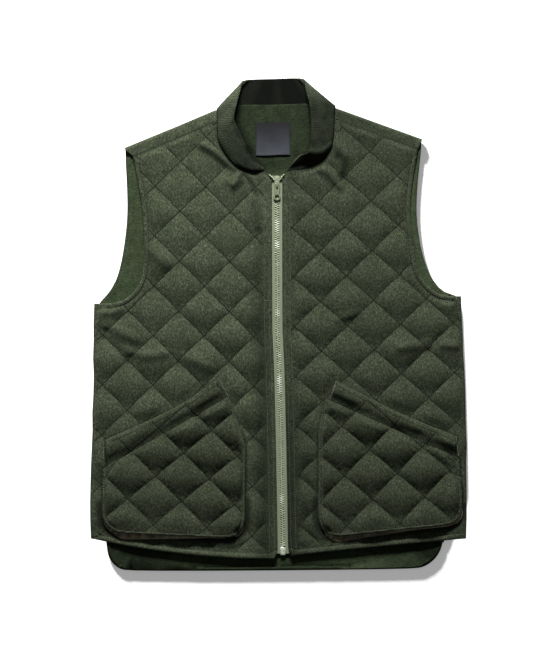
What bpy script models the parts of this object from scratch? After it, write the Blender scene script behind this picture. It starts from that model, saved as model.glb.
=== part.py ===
"""A quilted wool gilet with a rib-knit collar, laid flat on its back.

The garment lies on the plane z = 0 with the collar towards +Y and the zip facing up.
Left and right are as seen from above. Sizes are in millimetres until a mesh is made.
"""

import math

import bmesh
import bpy
import numpy as np
from mathutils import Matrix, Vector
from mathutils.geometry import delaunay_2d_cdt

MM = 0.001
SHARP_ANGLE = 50.0
SIDES = ("left", "right")
SIGN = {"left": -1.0, "right": 1.0}

# Cloth walls and the levels at which the layers lie on each other
SEAM_GAP = 0.3
BACK_WALL = 3.0
LINING_WALL = 1.2
FRONT_WALL = 2.2
QUILT_PUFF = 3.8
WELT_PUFF = 1.6
LINING_FLOOR = BACK_WALL + SEAM_GAP
LINING_TOP = LINING_FLOOR + LINING_WALL
FRONT_FLOOR = LINING_TOP + SEAM_GAP
POCKET_FLOOR = FRONT_FLOOR + FRONT_WALL + SEAM_GAP
WELT_TOP = POCKET_FLOOR + FRONT_WALL
POUCH_FLOOR = WELT_TOP + SEAM_GAP

# Outline of the body, a row for each level across the garment
SIDE_LEVELS = (  # level, y, left edge, right edge
    ("hem", -312.0, 274.6, 274.6),
    ("vent", -240.0, 274.2, 274.8),
    ("hip", -150.0, 271.2, 273.6),
    ("waist", -60.0, 269.6, 271.0),
    ("chest", 0.0, 270.0, 268.2),
    ("underarm", 45.0, 268.6, 266.4),
)
FRONT_ARMHOLE = (  # level, left x, left y, right x, right y
    ("scye floor", 243.0, 32.0, 249.7, 42.8),
    ("scye turn", 226.0, 36.6, 233.0, 46.0),
    ("scye curve", 206.0, 55.0, 213.0, 64.0),
    ("scye side", 198.0, 80.0, 202.0, 86.0),
    ("across chest", 196.8, 125.0, 196.5, 130.0),
    ("upper chest", 200.0, 175.0, 192.6, 180.0),
    ("shoulder point", 212.4, 247.5, 203.7, 258.4),
)
BACK_ARMHOLE = (  # level, left x, left y, right x, right y
    ("scye floor", 262.0, 33.5, 259.0, 43.5),
    ("scye turn", 250.0, 45.5, 243.0, 48.5),
    ("scye curve", 237.3, 66.4, 225.6, 66.4),
    ("scye side", 228.0, 102.0, 210.5, 105.0),
    ("across back", 221.5, 154.0, 202.5, 155.0),
    ("upper back", 221.5, 200.0, 203.0, 200.0),
    ("shoulder point", 224.8, 259.9, 210.2, 272.3),
)
SHOULDER_NECK = {"left": (-92.6, 315.6), "right": (82.4, 319.8)}
HEM = {  # y beside the zip, rise to the side seam, power of the curve
    "left": (-341.0, 30.0, 2.0),
    "right": (-337.0, 26.0, 0.9),
}
HEM_CORNER = (5.0, 8.0)
HEM_LIFT = 3.6
HEM_LIFT_REACH = 20.0
HEM_LIFT_SIDE = 70.0
LIFT_ROWS = (0.33, 0.67, 1.0)
TAIL_TOP = -318.0
TAIL_MIDDLE = -359.4
TAIL = {  # half width, bottom at the corner, corner radius
    "left": (251.0, -359.6, 34.0),
    "right": (241.0, -356.4, 46.0),
}
VENT_TOP = -240.0

# How the front wraps round the side and the back round the shoulder
WRAP_INSIDE = 1.8
WRAP_OUTSIDE = WRAP_INSIDE + FRONT_WALL
WRAP_MIDDLE = WRAP_INSIDE + FRONT_WALL / 2
WRAP_ARC = math.pi / 2 * WRAP_MIDDLE
WRAP_DROP = FRONT_FLOOR - WRAP_INSIDE - 0.4
FOLD_OUTSIDE = (FRONT_FLOOR + BACK_WALL) / 2
FOLD_MIDDLE = FOLD_OUTSIDE - BACK_WALL / 2
FOLD_ARC = math.pi * FOLD_MIDDLE
FOLD_STEPS = 4
SIDE_ROWS = 14

# Finished edges are turned in and stitched down this far from the edge
EDGE_STITCH = 6.0
EDGE_ROLL = 0.6
EDGE_GROOVE = 0.5
EDGE_STEP = 14.0
PUFF_START = EDGE_STITCH - 2.0
PUFF_FULL = EDGE_STITCH + 12.0
LINE_CLEAR = 2.8
POCKET_MARGIN = 3.0
POCKET_FADE = 12.0

# Diamond quilting, a row for each quilted piece
QUILT = {  # crossing x, crossing y, half width, half height, tilt in degrees
    "front_left": (-143.8, 167.2, 36.8, 36.4, -0.7),
    "front_right": (135.0, 182.2, 38.7, 36.2, 1.4),
    "pocket_left": (-138.3, -185.9, 39.0, 35.5, -3.0),
    "pocket_right": (132.7, -180.7, 38.4, 36.4, 3.0),
}
QUILT_CELLS = 4
QUILT_SAMPLES = 24
PILLOW_POWER = 0.6

# The largest folds, as ridges (+) and hollows (-) along a line
FOLDS = (  # panel, start x, start y, end x, end y, half width, height
    ("front_left", -108.0, 262.0, -82.0, 236.0, 8.0, -2.6),
    ("front_left", -92.0, 250.0, -66.0, 220.0, 9.0, 2.4),
    ("front_left", -256.0, 16.0, -232.0, 20.0, 7.0, -1.6),
    ("front_left", -255.0, -5.0, -214.0, -24.0, 8.0, -2.2),
    ("front_left", -217.0, -46.0, -172.0, -49.0, 7.0, -2.8),
    ("front_left", -137.0, -54.0, -94.0, -70.0, 8.0, -2.0),
    ("front_right", 84.0, 240.0, 66.0, 222.0, 9.0, 2.6),
    ("front_right", 95.0, 258.0, 104.0, 238.0, 9.0, -2.8),
    ("front_right", 104.0, 238.0, 96.0, 214.0, 8.0, -2.2),
    ("front_right", 246.0, -34.0, 270.0, -35.0, 7.0, -2.2),
    ("front_right", 182.0, -38.0, 214.0, -34.0, 8.0, -2.0),
    ("front_right", 90.0, 8.0, 112.0, 14.0, 8.0, -1.6),
)
DEEPEST_HOLLOW = -0.6

# Zip: its line down the front, and the sizes of its hardware
ZIP_LINE = (  # level, y, x
    ("neck", 220.0, -2.2),
    ("chest", 0.0, -1.9),
    ("waist", -66.0, 1.2),
    ("hip", -182.0, 4.0),
    ("hem", -345.0, 6.7),
)
ZIP_TOP = 219.0
ZIP_END = -333.0
ZIP_SHOWN = 7.6
ZIP_UNDER = 6.0
TAPE_WALL = 0.8
CHAIN_WIDTH = 5.4
CHAIN_WALL = 2.2
CHAIN_FLOOR = LINING_TOP + 1.5
TAPE_FLOOR = CHAIN_FLOOR + (CHAIN_WALL - TAPE_WALL) / 2
PLACKET_RISE = TAPE_FLOOR + TAPE_WALL + SEAM_GAP - FRONT_FLOOR
PLACKET_SLOPE = (2.0, 16.0)
PLACKET_ROWS = 16
CHAIN_ROWS = (-290.0, 190.0, 13)  # first y, last y, count
ZIP_SPREAD = 3.4
ZIP_SPREAD_FROM = 8.0
SLIDER_TOP = 218.5
SLIDER_END = 199.5
SLIDER_WIDE = 10.8
SLIDER_NARROW = 7.6
SLIDER_PLATE = 1.1
SLIDER_POST = (3.2, 5.0)
PULL_PIVOT_Y = 206.0
PULL_WALL = 1.5
PULL_WIDTH = 7.4
PULL_LENGTH = 18.4
PULL_RING = 5.2
PULL_HOLE = 3.0
PULL_WINDOW = (3.6, 5.6)
BRIDGE_WIDTH = 2.4
BRIDGE_REACH = 3.6
BRIDGE_WALL = 1.0
BOX_SIZE = (7.4, 11.0, 3.0)

# Pockets: corners with their radii, going round from the low end of the mouth
POCKETS = {  # corner x, corner y, radius
    "left": (
        (-257.0, -209.0, 3.0),
        (-258.6, -301.5, 28.0),
        (-49.0, -311.0, 24.0),
        (-47.6, -172.0, 60.0),
        (-72.0, -103.5, 3.0),
    ),
    "right": (
        (264.0, -194.0, 3.0),
        (270.6, -288.5, 24.0),
        (57.6, -310.5, 25.0),
        (57.4, -152.0, 60.0),
        (68.5, -106.5, 3.0),
    ),
}
WELT_LINE = {  # upper edge: low end, middle, high end
    "left": ((-254.0, -167.0), (-150.0, -119.0), (-87.0, -76.0)),
    "right": ((261.0, -162.0), (172.0, -125.0), (84.0, -80.0)),
}
WELT_UNDER = 5.0
WELT_END = 4.0
WELT_EDGE = (2.0, 9.0)
POUCH_LIFT = 3.4
POUCH_LIFT_REACH = 45.0
POUCH_LIFT_SIDE = 60.0
GUSSET_WALL = 1.8
GUSSET_DEPTH = 12.0
GUSSET_LIFT = 0.4
GUSSET_SHOWS = {"left": 3.4, "right": 4.6}

# Rib-knit collar, a row for each section from the left front end round the back to the right
COLLAR_WALL = 3.0
COLLAR_SECTIONS = (  # section, seam x, seam y, seam z, edge x, edge y, edge z
    ("left front end", -20.5, 226.0, 8.6, -21.5, 231.0, 10.0),
    ("left front", -41.6, 225.5, 7.6, -40.9, 246.0, 13.0),
    ("left bend", -64.8, 236.2, 7.0, -51.8, 268.6, 15.5),
    ("left neck", -84.8, 264.0, 6.8, -62.8, 292.0, 17.5),
    ("left side", -89.2, 282.0, 6.6, -65.8, 302.5, 19.0),
    ("left shoulder", -88.8, 299.0, 6.5, -63.6, 315.0, 15.5),
    ("left turn", -88.2, 311.0, 6.4, -58.0, 338.0, 9.5),
    ("left fold", -87.4, 318.6, 4.0, -52.4, 356.6, 4.3),
    ("left back", -76.0, 321.8, 1.5, -42.0, 360.2, 1.5),
    ("centre back", -5.0, 323.2, 1.5, -5.0, 360.6, 1.5),
    ("right back", 66.0, 324.6, 1.5, 31.0, 360.6, 1.5),
    ("right fold", 77.0, 321.4, 4.0, 38.6, 357.4, 4.3),
    ("right turn", 78.2, 314.0, 6.4, 41.6, 339.5, 9.0),
    ("right shoulder", 79.0, 303.0, 6.5, 47.0, 317.0, 13.0),
    ("right neck", 78.4, 273.0, 6.8, 48.9, 283.0, 16.5),
    ("right bend", 69.4, 244.6, 7.0, 45.3, 254.0, 17.5),
    ("right front", 43.0, 231.2, 7.6, 30.7, 246.6, 13.5),
    ("right front end", 17.0, 226.0, 8.6, 15.0, 229.4, 10.0),
)
COLLAR_BULGE = 2.4
COLLAR_ROWS = 4
RIB_PITCH = 2.6
RIB_HEIGHT = 0.5
RIBS_PER_INNER_STEP = 3
NECK_GAP = 1.6

# Blank woven label on the lining below the back neck
LABEL_CENTRE = (-8.0, 273.0)
LABEL_SIZE = (50.0, 48.0)
LABEL_WALL = 0.6
LABEL_CORNER = 1.5
LABEL_CURL = 1.2
LABEL_BENDS = (6.0, 14.0)


def smooth(value, low, high):
    """0 below low, 1 above high and an even S-curve between."""
    share = np.clip((np.asarray(value, float) - low) / (high - low), 0.0, 1.0)
    return share * share * (3.0 - 2.0 * share)


def curve_through(points, step):
    """A smooth curve through the points, with a point about every step."""
    points = np.array(points, float)
    padded = np.vstack([2 * points[0] - points[1], points, 2 * points[-1] - points[-2]])
    found = []
    for before, start, end, after in zip(padded, padded[1:], padded[2:], padded[3:]):
        count = max(1, round(np.linalg.norm(end - start) / step))
        for t in np.arange(count) / count:
            found.append(
                0.5
                * (
                    2 * start
                    + (end - before) * t
                    + (2 * before - 5 * start + 4 * end - after) * t * t
                    + (3 * start - before - 3 * end + after) * t**3
                )
            )
    found.append(points[-1])
    return np.array(found)


def straight(start, end, step):
    """Points from start to end, about every step."""
    count = max(1, round(math.dist(start, end) / step))
    return np.linspace(start, end, count + 1)


def rounded(corners, step):
    """A closed outline through corners of (x, y, radius), with each corner an arc."""
    found = []
    for i, (x, y, radius) in enumerate(corners):
        corner = np.array((x, y))
        back = np.array(corners[i - 1][:2]) - corner
        ahead = np.array(corners[(i + 1) % len(corners)][:2]) - corner
        back /= np.linalg.norm(back)
        ahead /= np.linalg.norm(ahead)
        half = math.acos(float(back @ ahead)) / 2
        middle = (back + ahead) / np.linalg.norm(back + ahead)
        centre = corner + middle * radius / math.sin(half)
        first = corner + back * radius / math.tan(half) - centre
        last = corner + ahead * radius / math.tan(half) - centre
        turn = math.pi - 2 * half
        count = max(2, round(turn * radius / step))
        for t in np.arange(count + 1) / count:
            weights = math.sin((1 - t) * turn) / math.sin(turn), math.sin(t * turn) / math.sin(turn)
            found.append(centre + weights[0] * first + weights[1] * last)
    runs = [straight(a, b, step)[:-1] for a, b in zip(found, found[1:] + found[:1])]
    return np.vstack(runs)


def distance(points, line, closed=False):
    """How far each point lies from a line of points."""
    points = np.atleast_2d(np.asarray(points, float))
    line = np.asarray(line, float)
    if closed:
        line = np.vstack([line, line[:1]])
    start, along = line[:-1], np.diff(line, axis=0)
    length = np.maximum((along**2).sum(1), 1e-12)
    offset = points[:, None, :] - start
    share = np.clip((offset * along).sum(2) / length, 0.0, 1.0)
    return np.linalg.norm(offset - share[:, :, None] * along, axis=2).min(1)


def inside(points, loop):
    """Whether each point lies inside a closed outline."""
    points = np.atleast_2d(np.asarray(points, float))
    ends = np.roll(loop, -1, axis=0)
    x, y = points[:, :1], points[:, 1:]
    crosses = (loop[:, 1] > y) != (ends[:, 1] > y)
    rise = np.where(ends[:, 1] == loop[:, 1], 1e-12, ends[:, 1] - loop[:, 1])
    at = loop[:, 0] + (y - loop[:, 1]) / rise * (ends[:, 0] - loop[:, 0])
    return (crosses & (x < at)).sum(1) % 2 == 1


def moved_loop(loop, out):
    """The outline again, this far outside it, or inside it where out is below 0."""
    along = np.roll(loop, -1, axis=0) - np.roll(loop, 1, axis=0)
    normal = np.stack([along[:, 1], -along[:, 0]], 1) / np.linalg.norm(along, axis=1)[:, None]
    if inside(loop[:1] + normal[:1] * 0.01, loop)[0]:
        normal = -normal
    moved = loop + normal * out
    return moved[(inside(moved, loop) == (out < 0)) & (distance(moved, loop, True) > 0.93 * abs(out))]


def kept_run(loop, keeps):
    """The kept points of a closed outline, as one run that starts after the gap."""
    start = int(np.flatnonzero(keeps & ~np.roll(keeps, 1))[0])
    return np.roll(loop, -start, axis=0)[np.roll(keeps, -start)]


def side_edge(side):
    """The half width at the side as a function of y."""
    column = 2 + SIDES.index(side)
    levels = [row[1] for row in SIDE_LEVELS]
    widths = [row[column] for row in SIDE_LEVELS]
    return lambda y: np.interp(y, levels, widths)


def zip_x(y):
    """The zip's middle line as a function of y."""
    rows = ZIP_LINE[::-1]
    return np.interp(y, [row[1] for row in rows], [row[2] for row in rows])


def armhole(rows, side, step):
    """The armhole edge from the side seam up to the shoulder."""
    x, y = (1, 2) if side == "left" else (3, 4)
    return curve_through([(SIGN[side] * row[x], row[y]) for row in rows], step)


def triangulated(loop, lines=(), points=()):
    """The area inside an outline as triangles, with the lines as edges and the points as corners."""
    corners = [Vector(p) for p in loop]
    edges = [(i, (i + 1) % len(loop)) for i in range(len(loop))]
    for line in lines:
        first = len(corners)
        corners += [Vector(p) for p in line]
        edges += [(first + i, first + i + 1) for i in range(len(line) - 1)]
    corners += [Vector(p) for p in points]
    found = delaunay_2d_cdt(corners, edges, [list(range(len(loop)))], 1, 1e-4)
    return np.array([tuple(p) for p in found[0]]), [tuple(f) for f in found[2]]


def boundary(faces):
    """The edges that belong to one face only, each in its face's direction."""
    edges = {(face[i], face[(i + 1) % len(face)]) for face in faces for i in range(len(face))}
    return [(a, b) for a, b in edges if (b, a) not in edges]


def plain_material(name, colour, roughness, metallic=0.0):
    material = bpy.data.materials.new(name)
    material.use_nodes = True
    shader = material.node_tree.nodes["Principled BSDF"]
    shader.inputs["Base Color"].default_value = (*colour, 1.0)
    shader.inputs["Roughness"].default_value = roughness
    shader.inputs["Metallic"].default_value = metallic
    return material


def make_object(name, corners, faces, material):
    """A closed mesh object from corners in millimetres."""
    mesh = bpy.data.meshes.new(name)
    mesh.from_pydata([tuple(np.asarray(c, float) * MM) for c in corners], [], faces)
    build = bmesh.new()
    build.from_mesh(mesh)
    bmesh.ops.triangulate(build, faces=build.faces)
    bmesh.ops.recalc_face_normals(build, faces=build.faces)
    build.to_mesh(mesh)
    build.free()
    mesh.shade_smooth()
    mesh.set_sharp_from_angle(angle=math.radians(SHARP_ANGLE))
    mesh.materials.append(material)
    made = bpy.data.objects.new(name, mesh)
    bpy.context.scene.collection.objects.link(made)
    return made


def wall(name, material, loop, place, height, outer_lines=(), outer_points=(), inner_lines=()):
    """A cloth wall over a flat cut: outer points stand above inner ones by the height there.

    place turns cut points and heights into points in space. Each face of the wall follows
    its own lines and points besides the outline that both share.
    """
    top, top_faces = triangulated(loop, outer_lines, outer_points)
    low, low_faces = triangulated(loop, inner_lines)
    corners = [*place(top, height(top)), *place(low, np.zeros(len(low)))]
    at = {tuple(np.round(p, 2) + 0.0): len(top) + i for i, p in enumerate(low)}
    faces = list(top_faces)
    faces += [tuple(len(top) + i for i in reversed(face)) for face in low_faces]
    for a, b in boundary(top_faces):
        under_a, under_b = (at[tuple(np.round(top[i], 2) + 0.0)] for i in (a, b))
        faces.append((b, a, under_a, under_b))
    return make_object(name, corners, faces, material)


class Quilting:
    """A lattice of stitch lines that cross in diamonds."""

    def __init__(self, piece):
        x, y, self.half_width, self.half_height, tilt = QUILT[piece]
        self.crossing = np.array((x, y))
        turn = math.radians(tilt)
        self.turn = np.array(((math.cos(turn), -math.sin(turn)), (math.sin(turn), math.cos(turn))))

    def lattice(self, points):
        """Points as counts of diamonds along the two stitch directions."""
        local = (np.asarray(points, float) - self.crossing) @ self.turn
        across, up = local[:, 0] / self.half_width / 2, local[:, 1] / self.half_height / 2
        return np.stack([across + up, across - up], 1)

    def points(self, lattice):
        lattice = np.asarray(lattice, float)
        across, up = lattice[:, 0] + lattice[:, 1], lattice[:, 0] - lattice[:, 1]
        return np.stack([across * self.half_width, up * self.half_height], 1) @ self.turn.T + self.crossing

    def puff(self, points):
        """0 on the stitches and 1 in the middle of a diamond."""
        share = self.lattice(points) % 1.0
        return np.prod(np.clip(4.0 * share * (1.0 - share), 0.0, 1.0) ** PILLOW_POWER, axis=1)

    def layout(self, loop, keeps):
        """Stitch lines and pillow points where keeps says that the quilting shows."""
        reach = self.lattice(loop)
        low, high = np.floor(reach.min(0)).astype(int), np.ceil(reach.max(0)).astype(int)
        lines = []
        for way in (0, 1):
            first, last = low[1 - way] * QUILT_SAMPLES, high[1 - way] * QUILT_SAMPLES
            along = np.arange(first, last + 1) / QUILT_SAMPLES
            for count in range(low[way], high[way] + 1):
                line = np.empty((len(along), 2))
                line[:, way], line[:, 1 - way] = count, along
                lines += self.runs(line, along, keeps)
        counts = [np.arange(a * QUILT_CELLS, b * QUILT_CELLS + 1) for a, b in zip(low, high)]
        grid = np.stack(np.meshgrid(*counts), -1).reshape(-1, 2)
        pillow = self.points(grid[(grid % QUILT_CELLS != 0).all(1)] / QUILT_CELLS)
        return lines, pillow[keeps(pillow)]

    def runs(self, line, along, keeps):
        """The stretches of a stitch line that show, with a corner at each cell of the pillows."""
        shown = keeps(self.points(line))
        found, run = [], []
        for i, shows in enumerate([*shown, False]):
            if shows:
                run.append(i)
            elif len(run) > 4:
                on_cell = [j for j in run[2:-2] if abs(along[j] * QUILT_CELLS % 1.0) < 1e-6]
                found.append(self.points(line[[run[0], *on_cell, run[-1]]]))
                run = []
            else:
                run = []
        return found


def fold_height(panel, points):
    """What the panel's own folds add to its outer points."""
    total = np.zeros(len(points))
    for name, x0, y0, x1, y1, half_width, height in FOLDS:
        if name == panel:
            away = distance(points, [(x0, y0), (x1, y1)])
            total += height * np.exp(-((away / half_width) ** 2))
    return total


def pocket_outline(side):
    """The ground that a pocket covers: its welt and its pouch."""
    low, _, high = WELT_LINE[side]
    return rounded(((*low, 3.0), *POCKETS[side][1:], (*high, 3.0)), EDGE_STEP)


class Front:
    """One quilted front, cut flat and then wrapped down round the side."""

    def __init__(self, side):
        self.side, self.sign = side, SIGN[side]
        self.name = f"front_{side}"
        self.edge = side_edge(side)
        self.quilting = Quilting(self.name)
        self.pocket = pocket_outline(side)
        self.edges = {}
        self.loop = self.outline()

    def fold_axis(self, y):
        return self.edge(y) - WRAP_OUTSIDE

    def hem_y(self, x):
        beside_zip, rise, power = HEM[self.side]
        start = zip_x(beside_zip) + self.sign * ZIP_SHOWN
        reach = self.edge(beside_zip + rise) - self.sign * start
        share = np.clip((self.sign * (np.asarray(x, float) - start)) / reach, 0.0, 1.0)
        return beside_zip + rise * share**power

    def outline(self):
        """The cut edge: up the zip, round the neck, along the shoulder and down the side."""
        sign = self.sign
        neck = neck_edge(self.side)
        opening = armhole(FRONT_ARMHOLE, self.side, EDGE_STEP)[::-1]
        wrap = WRAP_ARC + WRAP_DROP
        under_y = opening[-1][1]
        under = self.fold_axis(under_y) + np.linspace(0.0, WRAP_ARC, FOLD_STEPS + 1)
        under = [(sign * x, under_y) for x in [*under, under[0] + wrap]]
        seam_x = self.fold_axis(0.0) + wrap
        corner = (sign * seam_x, self.hem_y(sign * seam_x))
        seam = straight(under[-1], corner, 3 * EDGE_STEP)
        seam[:, 0] = sign * (self.fold_axis(seam[:, 1]) + wrap)
        hem_y = seam[-1][1]
        turns = np.linspace(WRAP_ARC, 0.0, FOLD_STEPS + 1)
        turned = [(sign * (self.fold_axis(hem_y) + s), hem_y) for s in turns]
        zip_foot = (zip_x(HEM[self.side][0]) + sign * ZIP_SHOWN, HEM[self.side][0])
        hem = straight(turned[-1], (zip_foot[0] + sign * HEM_CORNER[0], zip_foot[1]), EDGE_STEP)
        hem[:, 1] = self.hem_y(hem[:, 0])
        placket = straight(zip_foot, (0.0, neck[0][1]), 2 * EDGE_STEP)
        placket[1] = (0.0, zip_foot[1] + HEM_CORNER[1])
        placket[:, 0] = zip_x(placket[:, 1]) + sign * ZIP_SHOWN
        placket[0, 0] += sign * HEM_CORNER[0]
        shoulder = straight(neck[-1], opening[0], EDGE_STEP)
        self.edges = {
            "placket": placket,
            "neck": neck,
            "shoulder": shoulder,
            "armhole": np.vstack([opening, under]),
            "hem": hem,
        }
        runs = [placket[:-1], neck, shoulder[1:-1], opening, under[:-1], seam, turned, hem[1:-1]]
        return np.vstack([r for r in runs if len(r)])

    def from_finished_edge(self, points):
        return np.min([distance(points, edge) for edge in self.edges.values()], axis=0)

    def floor(self, points):
        """The wall's inner face, which rises over the zip tape and lifts at the hem."""
        from_zip = distance(points, self.edges["placket"])
        from_hem = distance(points, self.edges["hem"])
        from_side = self.fold_axis(points[:, 1]) - self.sign * points[:, 0]
        at_hem = 1.0 - smooth(from_hem, 0.0, HEM_LIFT_REACH)
        lift = HEM_LIFT * at_hem * smooth(from_side, 0.0, HEM_LIFT_SIDE)
        start, end = (ZIP_UNDER + slope for slope in PLACKET_SLOPE)
        placket = PLACKET_RISE * (1.0 - smooth(from_zip, start, end))
        return FRONT_FLOOR + np.maximum(lift, placket)

    def past_fold(self, points):
        return self.sign * points[:, 0] - self.fold_axis(points[:, 1])

    def height(self, points):
        """Wall thickness with its quilting, folds and stitched edges."""
        edge = self.from_finished_edge(points)
        clear = np.where(inside(points, self.pocket), 0.0, distance(points, self.pocket, True))
        shows = smooth(clear, POCKET_MARGIN, POCKET_FADE) * smooth(edge, PUFF_START, PUFF_FULL)
        shows = shows * (1.0 - smooth(self.past_fold(points), 0.0, WRAP_ARC + WRAP_DROP))
        turned_in = EDGE_ROLL * (1.0 - smooth(edge, 0.0, EDGE_STITCH - 1.0))
        turned_in -= EDGE_GROOVE * np.exp(-(((edge - EDGE_STITCH) / 2.0) ** 2))
        folds = fold_height(self.name, points) * smooth(clear, POCKET_MARGIN, POCKET_FADE)
        folds = folds * smooth(edge, PUFF_START / 2, PUFF_FULL / 2)
        raised = QUILT_PUFF * self.quilting.puff(points) * shows
        raised = np.maximum(raised + folds, DEEPEST_HOLLOW)
        return FRONT_WALL + raised + turned_in

    def place(self, points, heights):
        """Cut points as points in space, wrapped round the side seam."""
        past = np.maximum(self.past_fold(points), 0.0)
        angle = np.minimum(past / WRAP_MIDDLE, math.pi / 2)
        drop = np.maximum(past - WRAP_ARC, 0.0)
        radius = WRAP_INSIDE + heights
        wrapped = self.fold_axis(points[:, 1]) + radius * np.sin(angle)
        across = np.where(past > 0, wrapped, self.sign * points[:, 0])
        up = self.floor(points) - WRAP_INSIDE + radius * np.cos(angle) - drop
        return np.stack([self.sign * across, points[:, 1], up], 1)

    def wrap_lines(self):
        """Lines down the side where the wall bends."""
        top, foot = self.edges["armhole"][-1][1], self.edges["hem"][0][1]
        levels = np.linspace(top - 2.0, foot + 2.0, SIDE_ROWS)
        steps = np.linspace(0.0, WRAP_ARC, FOLD_STEPS + 1)
        return [np.stack([self.sign * (self.fold_axis(levels) + s), levels], 1) for s in steps]

    def build(self, material):
        stitched = moved_loop(self.loop, -EDGE_STITCH)
        stitched = kept_run(stitched, self.past_fold(stitched) < -LINE_CLEAR)
        ground = moved_loop(self.pocket, POCKET_MARGIN)
        ground = np.vstack([ground, ground[:1]])

        def keeps(points):
            clear = ~inside(points, ground) & (distance(points, ground) > LINE_CLEAR)
            unstitched = self.from_finished_edge(points) > EDGE_STITCH + LINE_CLEAR
            on_top = inside(points, self.loop) & (self.past_fold(points) < -LINE_CLEAR)
            return clear & unstitched & on_top

        lines, pillow = self.quilting.layout(self.loop, keeps)
        bends = self.wrap_lines()
        foot, head = self.edges["placket"][0][1] + HEM_CORNER[1], self.edges["placket"][-1][1] - 1.0
        levels = np.linspace(foot, head, PLACKET_ROWS)
        from_zip = [ZIP_SHOWN + ZIP_UNDER + slope for slope in np.linspace(*PLACKET_SLOPE, 3)]
        rise = [np.stack([zip_x(levels) + self.sign * far, levels], 1) for far in from_zip]
        hem = self.edges["hem"][1:-2]
        lifted = [hem + np.array((0.0, share * HEM_LIFT_REACH)) for share in LIFT_ROWS]
        return wall(
            self.name,
            material,
            self.loop,
            self.place,
            self.height,
            [stitched, ground, *lines, *bends],
            pillow,
            [*bends, *rise, *lifted],
        )


def neck_edge(side):
    """A front's neck edge from the zip to the shoulder, beside the collar's seam."""
    rows = [row for row in COLLAR_SECTIONS if row[0].startswith(side)]
    rows = rows if side == "left" else rows[::-1]
    rows = [row for row in rows if not row[0].endswith(("fold", "turn", "back"))]
    seam = curve_through([row[1:3] for row in rows], EDGE_STEP)
    along = np.gradient(seam, axis=0)
    outward = np.stack([along[:, 1], -along[:, 0]], 1) / np.linalg.norm(along, axis=1)[:, None]
    corner = (zip_x(ZIP_TOP) + SIGN[side] * ZIP_SHOWN, ZIP_TOP)
    return np.vstack([corner, seam + SIGN[side] * outward * NECK_GAP])


class Shoulder:
    """How the back's cloth turns over one shoulder and lies on the front's side of it."""

    def __init__(self, side, front):
        row = BACK_ARMHOLE[-1]
        tip = (-row[1], row[2]) if side == "left" else (row[3], row[4])
        self.neck, self.tip = np.array(SHOULDER_NECK[side]), np.array(tip)
        self.along = (self.tip - self.neck) / np.linalg.norm(self.tip - self.neck)
        self.out = np.array((self.along[1], -self.along[0])) * SIGN[side] * -1.0
        ends = front.edges["neck"][-1], front.edges["shoulder"][-1]
        self.seam = [end + self.out * SEAM_GAP for end in ends]

    def past(self, points):
        """How far cut points lie beyond the line where the cloth starts to turn."""
        return (points - self.neck) @ self.out + FOLD_OUTSIDE

    def unfolded(self, point):
        """The cut point that comes to lie at a point on the front's side."""
        depth = -float(self.past(point[None])[0])
        return point + self.out * (2 * depth + FOLD_ARC)

    def end(self, corner, seam):
        """The cut edge at one end of the turned strip, from the flat back outwards."""
        start = corner - self.out * FOLD_OUTSIDE
        turn = [start + self.out * s for s in np.linspace(0.0, FOLD_ARC, FOLD_STEPS + 1)]
        return np.array([*turn, self.unfolded(seam)])

    def strip(self):
        """The strip's cut edge from its neck end to its armhole end."""
        ends = self.end(self.neck, self.seam[0]), self.end(self.tip, self.seam[1])
        return np.vstack([ends[0], straight(ends[0][-1], ends[1][-1], EDGE_STEP)[1:-1], ends[1][::-1]])

    def bends(self):
        """Lines along the shoulder where the wall bends."""
        first, last = self.end(self.neck, self.seam[0]), self.end(self.tip, self.seam[1])
        inward = self.along * 2.0
        return [straight(a + inward, b - inward, 3 * EDGE_STEP) for a, b in zip(first[:-1], last[:-1])]


def back_neck(gap, gap_at_folds):
    """The back's neck edge from left to right, below the collar's seam."""
    rows = [row for row in COLLAR_SECTIONS if row[0].endswith(("fold", "back"))]
    drops = [gap if row[0].endswith("back") else gap_at_folds for row in rows]
    return curve_through([(row[1], row[2] - drop) for row, drop in zip(rows, drops)], EDGE_STEP)


def back_side(side, side_gap, edge_gap):
    """A back edge from the armhole's top down to the middle of the tail."""
    sign = SIGN[side]
    edge = side_edge(side)
    opening = armhole(BACK_ARMHOLE, side, EDGE_STEP)[::-1] - np.array((sign * edge_gap, 0.0))
    seam_y = np.linspace(opening[-1][1] - EDGE_STEP, VENT_TOP, 8)
    seam = np.stack([sign * (edge(seam_y) - side_gap), seam_y], 1)
    half_width, foot, radius = TAIL[side]
    corner = np.array((sign * (half_width - edge_gap - radius), foot + edge_gap + radius))
    turn = np.linspace(0.0, math.pi / 2, 6)
    tail = corner + radius * np.stack([sign * np.cos(turn), -np.sin(turn)], 1)
    vent = (sign * (half_width - edge_gap), TAIL_TOP)
    return opening, np.vstack([seam, vent, tail, (0.0, TAIL_MIDDLE + edge_gap)])


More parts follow.
